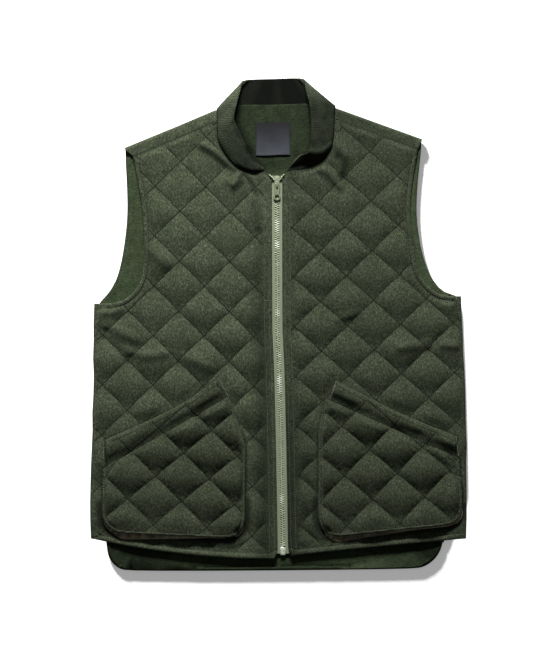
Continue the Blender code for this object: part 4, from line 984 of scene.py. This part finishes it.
TACKS = {  # start and end of the tacks at the upper and the lower end of the welt
    "left": (((-86.9, -77.5), (-73.5, -104.0)), ((-254.8, -169.5), (-255.5, -196.0))),
    "right": (((84.0, -81.5), (75.2, -108.5)), ((259.2, -162.0), (263.0, -193.0))),
}
TACK_STITCH = 1.5
TACK_PITCH = 2.0
TACK_THREAD = 1.1
TACK_GREEN = (0.16, 0.17, 0.125, 1.0)
POCKET_WOOL = {"left": (0.72, 5.0), "right": (0.68, 5.0)}  # lightness, and the grain's turn in degrees
POCKET_FINENESS = 2.4
POCKET_ROWS = (0.4, 0.6, 0.9)
TWILL_DARK = (0.15, 0.13, 0.088, 1.0)
TWILL_LIGHT = (0.34, 0.30, 0.205, 1.0)


def twill(name, dark, light):
    """Cotton twill with fine diagonal ribs."""
    made, tree, shader = cloth_shader(name, 0.8, 0.1)
    ribs = grain(tree, 0.7, 9.0, 45.0, 1.0)
    toned = ramp(tree, ribs, (0.35, dark), (0.65, light))
    # Painted shade turns the twill to 0.16 of its colour.
    colour_cloth(tree, shader, toned, tinted(tree, toned, grey(0.16)))
    raised(tree, shader, ribs, 0.6, 0.3)
    return made


gusset_twill = twill("gusset_twill", TWILL_DARK, TWILL_LIGHT)
tack_thread = thread("tack_thread", TACK_GREEN)
for side, sign in SIGN.items():
    mouth_low, mouth_high, foot_outer, foot_inner = POCKETS[side]
    wool = wool_flannel(f"wool_pocket_{side}", *POCKET_WOOL[side])

    name = f"pocket_gusset_{side}"
    mesh, cut = fine_wall(name, 1.6, (0.4, 0.6))
    outer, places = marked_points(mesh)
    edge = away(places[outer], cut)
    places[outer, 2] -= 1.0 - rounded_edge(edge, 1.0)
    foot_line = np.interp(places[:, 0], *np.array(sorted((foot_outer, foot_inner))).T)
    below = foot_line - places[:, 1]
    drop = np.interp(places[:, 0], *GUSSET_DROP[side])
    places[:, 1] -= drop * smooth(below, -1.5, GUSSET_SHOWS)
    shown = foot_line - places[:, 1]
    lower_fold = 0.78 * (GUSSET_SHOWS + drop)
    folds = np.maximum(bell(shown - UPPER_FOLD, FOLD_LINE), bell(shown - lower_fold, FOLD_LINE))
    places[outer, 2] += 0.6 * folds[outer] * smooth(edge, 0.0, 1.0)
    set_points(mesh, places)
    # Painted shade darkens the gusset everywhere but along its two folded edges, which stay light.
    set_painted_shade(mesh, outer, 0.8 * (1.0 - folds[outer]) * smooth(shown[outer], -4.0, 0.0))
    gusset = put_on(mesh, gusset_twill)
    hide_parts(name)
    strip_area = under_area(name)

    name = f"pocket_welt_{side}"
    mesh, cut = fine_wall(name, POCKET_FINENESS, POCKET_ROWS)
    outer, places = marked_points(mesh)
    points = places[outer]
    edge = away(points, cut)
    from_upper = from_line(points, *WELT_LINE[side])
    from_mouth = from_line(points, mouth_low, mouth_high)
    quilting, from_stitch = quilted(points, f"pocket_{side}", WELT_SEED)
    shows = smooth(from_upper, 3.0, 12.0) * smooth(from_mouth, 6.0, 16.0)
    slope = np.array(mouth_high) - np.array(mouth_low)
    share = (points[:, :2] - mouth_low) @ slope / (slope @ slope)
    width = from_upper + from_mouth
    crest = np.clip(from_upper / width, 0.0, 1.0)
    ridge = WELT_RIDGE * np.sin(math.pi * crest**0.7) * smooth(width, 6.0, 22.0)
    for at, half_width, height in WELT_WAVES[side]:
        near = bell((share - at) * np.linalg.norm(slope), half_width)
        ridge += height * near * np.sin(math.pi * crest)
    ridge *= smooth(edge, 0.0, 3.0)
    wall = FRONT_WALL * (0.4 + 0.6 * rounded_edge(edge, 2.0))
    groove = 0.5 * bell(from_upper - WELT_STITCH, 1.0)
    lift = WELT_LIFT * smooth(from_mouth, 2.0, 12.0)
    places[outer, 2] = POCKET_FLOOR + lift + wall + ridge - groove + 0.45 * quilting * shows
    set_points(mesh, places)
    # Painted shade along the welt's quilting stitches.
    set_painted_shade(mesh, outer, 0.6 * bell(from_stitch, 0.9) * smooth(from_upper, 4.0, 6.0))
    welt = put_on(mesh, wool)
    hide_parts(name)
    under_area(name)
    upper = stitch_line(cut[from_line(cut.mean(1), *WELT_LINE[side]) < 3.0], WELT_STITCH, mouth_low)

    name = f"pocket_pouch_{side}"
    mesh, cut = fine_wall(name, POCKET_FINENESS, POCKET_ROWS, f"pocket_{side}")
    outer, places = marked_points(mesh)
    points = places[outer]
    middle = cut.mean(1)
    at_mouth = from_line(middle, mouth_low, mouth_high) < 6.0
    at_foot = from_line(middle, foot_outer, foot_inner) < 9.0
    from_mouth, from_sewn = away(points, cut[at_mouth]), away(points, cut[~at_mouth])
    from_sides, from_foot = away(points, cut[~at_mouth & ~at_foot]), from_line(points, foot_outer, foot_inner)
    lift = POUCH_LIFT * (1.0 - smooth(from_foot, 0.0, 45.0)) * smooth(from_sides, 0.0, 60.0)
    quilting, from_stitch = quilted(points, f"pocket_{side}", POUCH_SEED)
    shows = smooth(from_sides, 0.5, 10.0) * (0.45 + 0.55 * smooth(from_foot, 0.0, 30.0))
    shows *= 0.4 + 0.6 * smooth(from_mouth, 0.0, 10.0)
    roll = 0.8 * sewn_roll(from_sewn, POUCH_ROLL) - 0.35 * bell(from_sewn - POUCH_ROLL, 0.9)
    roll += 0.35 * rippled(points, 7.0, 4.0 * sign) * np.exp(-from_sewn / 9.0) * smooth(from_sewn, 0.5, 3.0)
    rounded = np.minimum(rounded_edge(from_sewn, 1.9), rounded_edge(from_mouth, 4.5))
    wall = FRONT_WALL * (0.4 + 0.6 * rounded)
    places[outer, 2] = POUCH_FLOOR + lift + wall + roll + POUCH_PUFF * quilting * shows
    set_points(mesh, places)
    # Painted shade along the pouch's quilting stitches.
    set_painted_shade(mesh, outer, 0.4 * bell(from_stitch, 0.8) * smooth(from_sewn, 2.5, 4.0))
    pouch = put_on(mesh, wool)
    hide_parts(name)
    under_area(name)

    tree = surface_tree(fronts[side], welt, pouch)
    stitches = quilt_dashes(f"pocket_{side}", points.min(0), points.max(0))
    ends = stitches.reshape(-1, 2)
    inside = covered_by(ends, name) & (away(ends, cut[~at_mouth]) > POUCH_ROLL)
    inside |= covered_by(ends, f"pocket_welt_{side}") & (from_line(ends, *WELT_LINE[side]) > WELT_STITCH)
    inside &= away(ends, cut[at_mouth]) > 1.0
    stitches = stitches[inside.reshape(-1, 2).all(1)]
    stitches = np.concatenate([stitches, dashes(upper, QUILT_PITCH, QUILT_STITCH)])
    sewn(f"pouch_{side}_quilting", stitches, tree, QUILT_THREAD, dark_thread)
    inner_point = (sign * 150.0, -220.0)
    at_inner = ~at_mouth & ~at_foot & (np.abs(middle[:, 0]) < 100.0)
    lines = [stitch_line(cut[~at_mouth], POUCH_STITCHES[side][0], inner_point)]
    lines += [stitch_line(cut[at_inner], offset, inner_point) for offset in POUCH_STITCHES[side][1:]]
    sewn(f"pouch_{side}_topstitching", topstitches(lines), tree, TOPSTITCH_THREAD, wool_thread)
    stitches = np.concatenate([dashes(line, TACK_PITCH, TACK_STITCH) for line in TACKS[side]])
    sewn(f"pocket_{side}_tacks", stitches, tree, TACK_THREAD, tack_thread)

# The zip is a moulded one on woven sage tapes, which are sewn under the two front edges. Its teeth close up
# to the slider just below the neck and open out above it, and a metal box holds the chain's foot.
TOOTH_PITCH = 3.35
TOOTH = (3.9, 1.3, 2.1)
TOOTH_EDGE = 0.4
TOOTH_OVERLAP = 0.5
TOOTH_SLANT = 16.0
CHAIN_MIDDLE = 7.1
CHAIN_HIGH = 199.0
OPEN_TEETH = {  # x, y, z and turn in degrees of the teeth above the slider
    "left": ((-6.4, 213.0, 9.0, 30.0), (-8.6, 215.6, 10.6, 40.0), (-11.0, 217.4, 11.2, 50.0)),
    "right": ((2.0, 213.2, 9.0, 30.0), (4.0, 216.0, 10.6, 40.0), (6.2, 218.4, 11.2, 50.0)),
}
SAGE = (0.22, 0.25, 0.165, 1.0)
SAGE_DARK = (0.12, 0.14, 0.09, 1.0)
# The pale colour of painted glints on the zip's plastic and metal.
PAINTED_GLINT_SAGE = (0.72, 0.76, 0.64, 1.0)
TOOTH_SAGE = (0.47, 0.525, 0.36, 1.0)
# Painted shade: the tape turns to TAPE_SHADED within TAPE_COVERED of the zip's middle, under the teeth.
TAPE_SHADED = (0.010, 0.012, 0.007, 1.0)
TAPE_COVERED = 3.1
TAPE_CORD = 1.5
TAPE_REACH = ((2.8, 4.6, 7.2, 30.0), (0.35, 1.1, 7.2, 30.0))  # from the zip's middle: the solid, the cloth
PULL_SLOPE = 0.068
METAL_EDGE, BOX_EDGE = 0.18, 0.4


def woven_tape(name):
    """Woven polyester tape with fine lengthwise cords, painted dark as shade where the teeth cover it."""
    made, tree, shader = cloth_shader(name, 0.7, 0.1)
    across = node(tree, "Attribute", {}, attribute_name="across").outputs["Fac"]
    cords = node(tree, "Math", {0: across, 1: 2.0 * math.pi / TAPE_CORD}, operation="MULTIPLY").outputs[0]
    cords = node(tree, "Math", {0: cords}, operation="SINE").outputs[0]
    picks = grain(tree, 0.8, 0.5, 0.0, 1.0)
    height = node(tree, "Math", {0: cords, 1: picks}, operation="ADD").outputs[0]
    woven = ramp(tree, height, (0.0, SAGE_DARK), (0.9, SAGE))
    covered = node(tree, "Math", {0: across, 1: TAPE_COVERED}, operation="LESS_THAN").outputs[0]
    tree.links.new(mixed(tree, covered, woven, TAPE_SHADED), shader.inputs["Base Color"])
    raised(tree, shader, height, 0.6, 0.25)
    return made


def sage_plastic(name, roughness, metal, colour=SAGE):
    """Sage enamel or moulded plastic, a little uneven in tone and gloss, with pale patches painted in as
    glints.
    """
    made, tree, shader = cloth_shader(name, roughness, 0.0)
    shader.inputs["Specular IOR Level"].default_value = 0.6
    shader.inputs["Metallic"].default_value = metal
    wear = grain(tree, 2.2, 1.0, 0.0, 3.0)
    painted_glints = ramp(tree, grain(tree, 24.0, 1.0, 0.0, 1.0), (0.56, grey(0.0)), (0.72, grey(1.0)))
    toned = mixed(tree, painted_glints, ramp(tree, wear, (0.3, SAGE_DARK), (0.65, colour)), PAINTED_GLINT_SAGE)
    tree.links.new(toned, shader.inputs["Base Color"])
    gloss = ramp(tree, wear, (0.3, grey(roughness + 0.12)), (0.7, grey(roughness - 0.08)))
    tree.links.new(gloss, shader.inputs["Roughness"])
    raised(tree, shader, wear, 0.15, 0.08)
    return made


def round_edges(build, edges, width):
    bmesh.ops.bevel(build, geom=edges, offset=width, segments=2, profile=0.5, affect="EDGES", material=-1)


def eased_copy(name, width):
    """A copy of a small CAD solid with its sharp edges rounded."""
    build = copied(name)
    bmesh.ops.dissolve_limit(build, angle_limit=math.radians(3.0), verts=build.verts, edges=build.edges)
    sharp = [e for e in build.edges if len(e.link_faces) == 2 and e.calc_face_angle() > math.radians(35.0)]
    round_edges(build, sharp, width * MM)
    build.transform(nodes[name].matrix_world)
    return as_mesh(build, name + "_metal")


tape_weave = woven_tape("zip_tape")
for side, sign in SIGN.items():
    name = f"zip_tape_{side}"
    mesh = fine_wall(name, 3.0, (0.2,))[0]
    places = marked_points(mesh)[1]
    across = np.interp(np.abs(places[:, 0] - zip_x(places[:, 1])), *TAPE_REACH).astype(np.float32)
    places[:, 0] = zip_x(places[:, 1]) + sign * across
    set_points(mesh, places)
    mesh.attributes.new("across", "FLOAT", "POINT").data.foreach_set("value", across)
    tape = put_on(mesh, tape_weave)
    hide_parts(name)
    under_area(name)

tooth_build = bmesh.new()
bmesh.ops.create_cube(tooth_build, size=1.0)
bmesh.ops.scale(tooth_build, vec=TOOTH, verts=tooth_build.verts)
bmesh.ops.translate(tooth_build, vec=(TOOTH[0] / 2 - TOOTH_OVERLAP, 0.0, 0.0), verts=tooth_build.verts)
round_edges(tooth_build, tooth_build.edges, TOOTH_EDGE)
tooth_points, tooth_faces = shape_of(tooth_build)
chain_low = chain_points[:, 1].min() + 1.0
copies = []
for side, sign in SIGN.items():
    faces = [face[:: int(sign)] for face in tooth_faces]
    rows = np.arange(chain_low + (0.5 * TOOTH_PITCH if sign > 0 else 0.0), CHAIN_HIGH, TOOTH_PITCH)
    stands = [(zip_x(y), y, CHAIN_MIDDLE, TOOTH_SLANT) for y in rows] + list(OPEN_TEETH[side])
    for x, y, level, slant in stands:
        turn = math.radians(slant)
        along = tooth_points[:, 0] * math.cos(turn) - tooth_points[:, 1] * math.sin(turn)
        up = tooth_points[:, 0] * math.sin(turn) + tooth_points[:, 1] * math.cos(turn)
        placed = np.stack([x + sign * along, y + up, level + tooth_points[:, 2]], 1)
        copies.append((placed, faces))
teeth = put_on(joined("zip_teeth", copies), sage_plastic("zip_teeth", 0.32, 0.0, TOOTH_SAGE))
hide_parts("zip_chain")

enamel = sage_plastic("zip_hardware", 0.34, 0.25)
slider = put_on(eased_copy("zip_slider", METAL_EDGE), enamel)
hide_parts("zip_slider")
mesh = eased_copy("zip_pull", METAL_EDGE)
hinge = max(vert.co.y for vert in mesh.vertices)
for vert in mesh.vertices:
    vert.co.z -= PULL_SLOPE * (hinge - vert.co.y)
pull = put_on(mesh, enamel, "zip_pull")
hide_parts("zip_pull")
# The box takes the pale glint colour all over, as a painted highlight.
box = put_on(eased_copy("zip_box", BOX_EDGE), sage_plastic("zip_box", 0.28, 0.3, PAINTED_GLINT_SAGE))
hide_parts("zip_box")

# The collar is a doubled band of fine rib knit, folded at its upper edge. It stands round the front of the
# neck, leans in over it at the sides and lies flat behind, where its inside shows. The right side buckles.
KNIT_LIGHT = (0.082, 0.098, 0.062, 1.0)
KNIT_SHADED = (0.002, 0.0025, 0.002, 1.0)
COLLAR = (  # seam x, y, z and upper edge x, y, z at stations from the left front end round to the right
    (-20.5, 226.0, 8.6, -21.5, 231.0, 10.0),
    (-41.6, 225.5, 7.6, -40.9, 246.0, 13.0),
    (-64.8, 236.2, 7.0, -51.8, 268.6, 15.5),
    (-84.8, 264.0, 6.8, -62.8, 292.0, 17.5),
    (-88.2, 282.0, 6.6, -65.8, 302.5, 19.0),
    (-88.8, 299.0, 6.5, -63.6, 315.0, 15.5),
    (-88.8, 311.0, 6.4, -58.0, 337.0, 9.5),
    (-88.0, 317.0, 4.6, -53.2, 353.4, 4.3),
    (-76.0, 320.8, 1.5, -44.0, 358.2, 1.5),
    (-5.0, 321.8, 1.5, -5.0, 359.2, 1.5),
    (66.0, 322.8, 1.5, 30.0, 360.4, 1.5),
    (81.4, 320.6, 4.6, 38.0, 355.6, 4.3),
    (82.2, 314.0, 6.4, 41.6, 339.5, 9.0),
    (81.4, 303.0, 6.5, 47.0, 317.0, 13.0),
    (79.2, 273.0, 6.8, 48.9, 283.0, 16.5),
    (69.4, 244.6, 7.0, 45.3, 254.0, 17.5),
    (43.0, 231.2, 7.6, 30.7, 246.6, 13.5),
    (17.0, 226.0, 8.6, 15.0, 229.4, 10.0),
)
COLLAR_FOLDS = (  # y, then x, of the lines where the band folds over at the back of the neck
    ((323.4, 348.6, 357.0, 360.0), (-59.6, -54.8, -46.6, -41.0)),
    ((323.4, 342.5, 353.2, 360.0), (41.9, 39.3, 36.3, 30.0)),
)
BUCKLE_LIP = ((12.0, 24.0, 35.8, 53.3, 63.5, 70.8, 76.7), (232.0, 241.0, 248.2, 247.5, 248.9, 254.8, 260.6))
BUCKLE_FLOOR = 5.9
COLLAR_WALL = 3.0
RIB_PITCH = 3.4
RIB_HEIGHT = 0.7
RIB_SHADE = 0.22
RIB_SKEW = 20.0
RIGHT_RIBS = 0.35
LEFT_SHADE = (  # y, then how dark the left side is
    (235.0, 255.0, 275.0, 295.0, 318.0, 345.0),
    (0.66, 0.62, 0.52, 0.43, 0.3, 0.12),
)
RIGHT_SHADE = 0.74
TRIAL_STEPS = 800
RIB_STEPS = 5
COLLAR_ROWS = 22
FOLD_ROWS = 5
COLLAR_BULGE = 3.8
FOLD_RISE = 2.6
LIP_RISE = 2.0


def rib_knit(name):
    """Fine rib knit with a woolly melange grain."""
    made, tree, shader = cloth_shader(name, 0.9, 0.0)
    fibres = grain(tree, 1.2, 1.8, 20.0, 3.0, 0.7)
    blend = ramp(tree, fibres, (0.34, WOOL_DARK), (0.7, KNIT_LIGHT))
    clouds = ramp(tree, grain(tree, 18.0), (0.3, (0.8, 0.82, 0.8, 1.0)), (0.7, (1.15, 1.13, 1.15, 1.0)))
    colour_cloth(tree, shader, tinted(tree, blend, clouds), KNIT_SHADED)
    raised(tree, shader, fibres, 0.5, 0.3)
    return made


def through(rows, at):
    """A smooth curve through rows of values, read at places counted in rows."""
    rows = np.array(rows, float)
    slopes = np.gradient(rows, axis=0)
    start = np.clip(np.floor(at).astype(int), 0, len(rows) - 2)
    t = (at - start)[:, None]
    near, far = rows[start], rows[start + 1]
    return (
        near * (1 + 2 * t) * (1 - t) ** 2
        + slopes[start] * t * (1 - t) ** 2
        + far * t**2 * (3 - 2 * t)
        + slopes[start + 1] * t**2 * (t - 1)
    )


trial_stations = np.linspace(0.0, len(COLLAR) - 1.0, TRIAL_STEPS)
trial = through(COLLAR, trial_stations)
steps = np.linalg.norm(np.diff((trial[:, :3] + trial[:, 3:]) / 2, axis=0), axis=1)
run = np.concatenate([[0.0], np.cumsum(steps)])
columns = round(run[-1] / RIB_PITCH) * RIB_STEPS
length_at = np.linspace(0.0, run[-1], columns + 1)
band = through(COLLAR, np.interp(length_at, run, trial_stations))
shares = np.linspace(0.0, 1.0, COLLAR_ROWS + 1)
middle = band[:, None, :3] + (band[:, None, 3:] - band[:, None, :3]) * shares[None, :, None]
leaning = smooth(band[:, 5] - 1.5, 0.0, 8.0)
leaning *= (1.0 - 0.75 * smooth(band[:, 0], 0.0, 40.0)) * (0.45 + 0.55 * smooth(band[:, 1], 230.0, 262.0))
middle[:, :, 2] += COLLAR_BULGE * leaning[:, None] * np.sin(math.pi * shares[None, :] ** 0.62)
across, along = middle[:, :, 0], middle[:, :, 1]
past_left = np.interp(along, *COLLAR_FOLDS[0]) - across
past_right = across - np.interp(along, *COLLAR_FOLDS[1])
behind = smooth(along, 300.0, 334.0)
folded_over = np.maximum(smooth(past_left, -1.6, 2.0), smooth(past_right, -1.6, 2.0))
middle[:, :, 2] += FOLD_RISE * folded_over * behind
inside_out = (1.0 - folded_over) * smooth(along, 316.0, 320.0)
lip = np.interp(across, *BUCKLE_LIP)
buckled = smooth(lip - along, -1.0, 6.0) * smooth(across, 8.0, 13.0)
on_lip = bell(along - lip - 4.0, 4.5) * smooth(across, 30.0, 44.0) * (1.0 - smooth(along, 262.0, 276.0))
middle[:, :, 2] += LIP_RISE * on_lip
middle[:, :, 2] += (BUCKLE_FLOOR - middle[:, :, 2]) * buckled

# Shade is painted into the knit along its left side and its buckled right side, and its inside is darkest.
flat_points = middle.reshape(-1, 3)
streaks = rippled(flat_points / (18.0, 5.0, 1.0), 1.0, 2.0).reshape(across.shape)
blotches = rippled(flat_points, 11.0, 5.0).reshape(across.shape)
low_left = np.interp(along, *LEFT_SHADE) * (0.7 + 0.3 * smooth(shares, 0.05, 0.5))
low_left += 0.25 * smooth(shares, 0.8, 1.0) * (along < 318.0)
low_left *= (across < 0.0) * (1.0 + 0.25 * blotches)
crescent = smooth(across, -72.0, -56.0) * (1.0 - smooth(across, -26.0, -20.0))
crescent *= (1.0 - smooth(shares, 0.08, 0.32)) * (along < 245.0)
on_right = smooth(across, 24.0, 40.0) * (1.0 - 0.6 * smooth(along, 320.0, 356.0))
on_right *= RIGHT_SHADE + 0.14 * blotches
inner = (0.98 - 0.3 * np.clip(streaks, 0.0, 1.0)) * inside_out
darkened = np.maximum.reduce([inner, 0.86 * buckled, low_left, crescent, on_right, 0.85 * on_lip])
flatter = 1.0 - 0.75 * np.maximum(inside_out, buckled)
flatter *= 1.0 - (1.0 - RIGHT_RIBS) * smooth(across, 10.0, 40.0)
from_end = np.minimum(length_at, length_at[-1] - length_at)
slim = 0.3 + 0.7 * smooth(from_end, 0.0, 14.0)
facing = np.cross(np.gradient(middle, axis=1), np.gradient(middle, axis=0))
facing /= np.linalg.norm(facing, axis=2)[:, :, None]
facing *= np.where(facing[:, :, 2:].mean() < 0, -1.0, 1.0)
edge_way = middle[:, -1] - middle[:, -2]
edge_way /= np.linalg.norm(edge_way, axis=1)[:, None]
skewed = length_at[:, None] - RIB_SKEW * shares * np.clip(across / 60.0, -1.0, 1.0)
rib = np.abs(np.sin(math.pi * skewed / RIB_PITCH)) ** 0.7 - 0.6
# Painted shade between the ribs.
darkened = np.clip(darkened + RIB_SHADE * (0.3 - rib) * flatter * (1.0 - darkened), 0.0, 1.0)
collar_rows = 2 * (COLLAR_ROWS + 1) + FOLD_ROWS
sheet = np.empty((columns + 1, collar_rows, 3))
half = COLLAR_WALL / 2
for row in range(COLLAR_ROWS + 1):
    fade = smooth(shares[row], 0.0, 0.06)
    thick = (slim * (half + RIB_HEIGHT * rib[:, row] * fade * flatter[:, row]))[:, None]
    sheet[:, row] = middle[:, row] + facing[:, row] * thick
    sheet[:, -1 - row] = middle[:, row] - facing[:, row] * thick
for row in range(FOLD_ROWS):
    turn = math.pi * (row + 1) / (FOLD_ROWS + 1)
    thick = (slim * (half + RIB_HEIGHT * rib[:, -1] * flatter[:, -1]))[:, None]
    way = facing[:, -1] * math.cos(turn) + edge_way * math.sin(turn)
    sheet[:, COLLAR_ROWS + 1 + row] = middle[:, -1] + way * thick
sheet[:, :, 2] = np.maximum(sheet[:, :, 2], 0.0)
build = bmesh.new()
bmesh.ops.create_grid(build, x_segments=columns, y_segments=collar_rows - 1, size=0.5)
# The painted shade of the knit, carried on to the rows of its fold.
painted_knit_shade = np.zeros((columns + 1, collar_rows))
painted_knit_shade[:, : COLLAR_ROWS + 1] = darkened
painted_knit_shade[:, COLLAR_ROWS + 1 :] = darkened[:, -1:]
shade = build.verts.layers.float.new("painted_shade")
for vert in build.verts:
    column, row = round((vert.co.x + 0.5) * columns), round((vert.co.y + 0.5) * (collar_rows - 1))
    vert.co = sheet[column, row] * MM
    vert[shade] = painted_knit_shade[column, row]
mesh = bpy.data.meshes.new("collar_knit")
bmesh.ops.holes_fill(build, edges=build.edges)
bmesh.ops.recalc_face_normals(build, faces=build.faces)
build.to_mesh(mesh)
build.free()
collar = put_on(mesh, rib_knit("rib_knit"))
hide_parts("collar")

# The label is a small blank square of dark woven satin with turned edges, sewn to the lining below the back
# of the neck. Its lower edge stands a little clear of the cloth.
SATIN_DARK = (0.018, 0.020, 0.024, 1.0)
SATIN_LIGHT = (0.033, 0.037, 0.045, 1.0)
SATIN_SHADED = (0.004, 0.004, 0.005, 1.0)
LABEL_MIDDLE = (-8.0, 273.0)
LABEL_SIZE = (50.0, 48.0)
LABEL_WALL = 0.6
LABEL_LEVEL = 0.95
LABEL_CURL = 4.8
LABEL_STEPS = 40


def satin(name):
    """Dark satin weave with fine threads across."""
    made, tree, shader = cloth_shader(name, 0.5, 0.03)
    shader.inputs["Specular IOR Level"].default_value = 0.25
    threads = grain(tree, 0.6, 0.2, 0.0, 2.0)
    weave = ramp(tree, threads, (0.3, SATIN_DARK), (0.7, SATIN_LIGHT))
    clouds = ramp(tree, grain(tree, 20.0), (0.3, grey(0.85)), (0.7, grey(1.25)))
    colour_cloth(tree, shader, tinted(tree, weave, clouds), SATIN_SHADED)
    raised(tree, shader, threads, 0.3, 0.15)
    return made


build = bmesh.new()
bmesh.ops.create_grid(build, x_segments=LABEL_STEPS, y_segments=LABEL_STEPS, size=0.5)
shade = build.verts.layers.float.new("painted_shade")
for vert in build.verts:
    across, up = vert.co.x, vert.co.y
    # Painted shade, darker towards the label's top and along its border.
    border = 0.25 * (max(abs(across), abs(up)) > 0.47)
    vert[shade] = min(0.9, 0.5 + 0.95 * up + border)
    curl = LABEL_CURL * max(0.0, -up - 0.1) ** 1.6 * (1.0 - 0.5 * (2.0 * across) ** 2)
    place = (
        LABEL_MIDDLE[0] + across * LABEL_SIZE[0] * (1.0 + 0.012 * up),
        LABEL_MIDDLE[1] + up * LABEL_SIZE[1] + 0.6 * math.sin(5.0 * across),
        LINING_TOP + LABEL_LEVEL + curl + 0.15 * math.sin(9.0 * across + 4.0 * up),
    )
    vert.co = Vector(place) * MM
bmesh.ops.solidify(build, geom=build.faces, thickness=LABEL_WALL * MM)
mesh = as_mesh(build, "label_cloth")
label = put_on(mesh, satin("label_satin"))
mesh.set_sharp_from_angle(angle=SHARP)
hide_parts("neck_label")
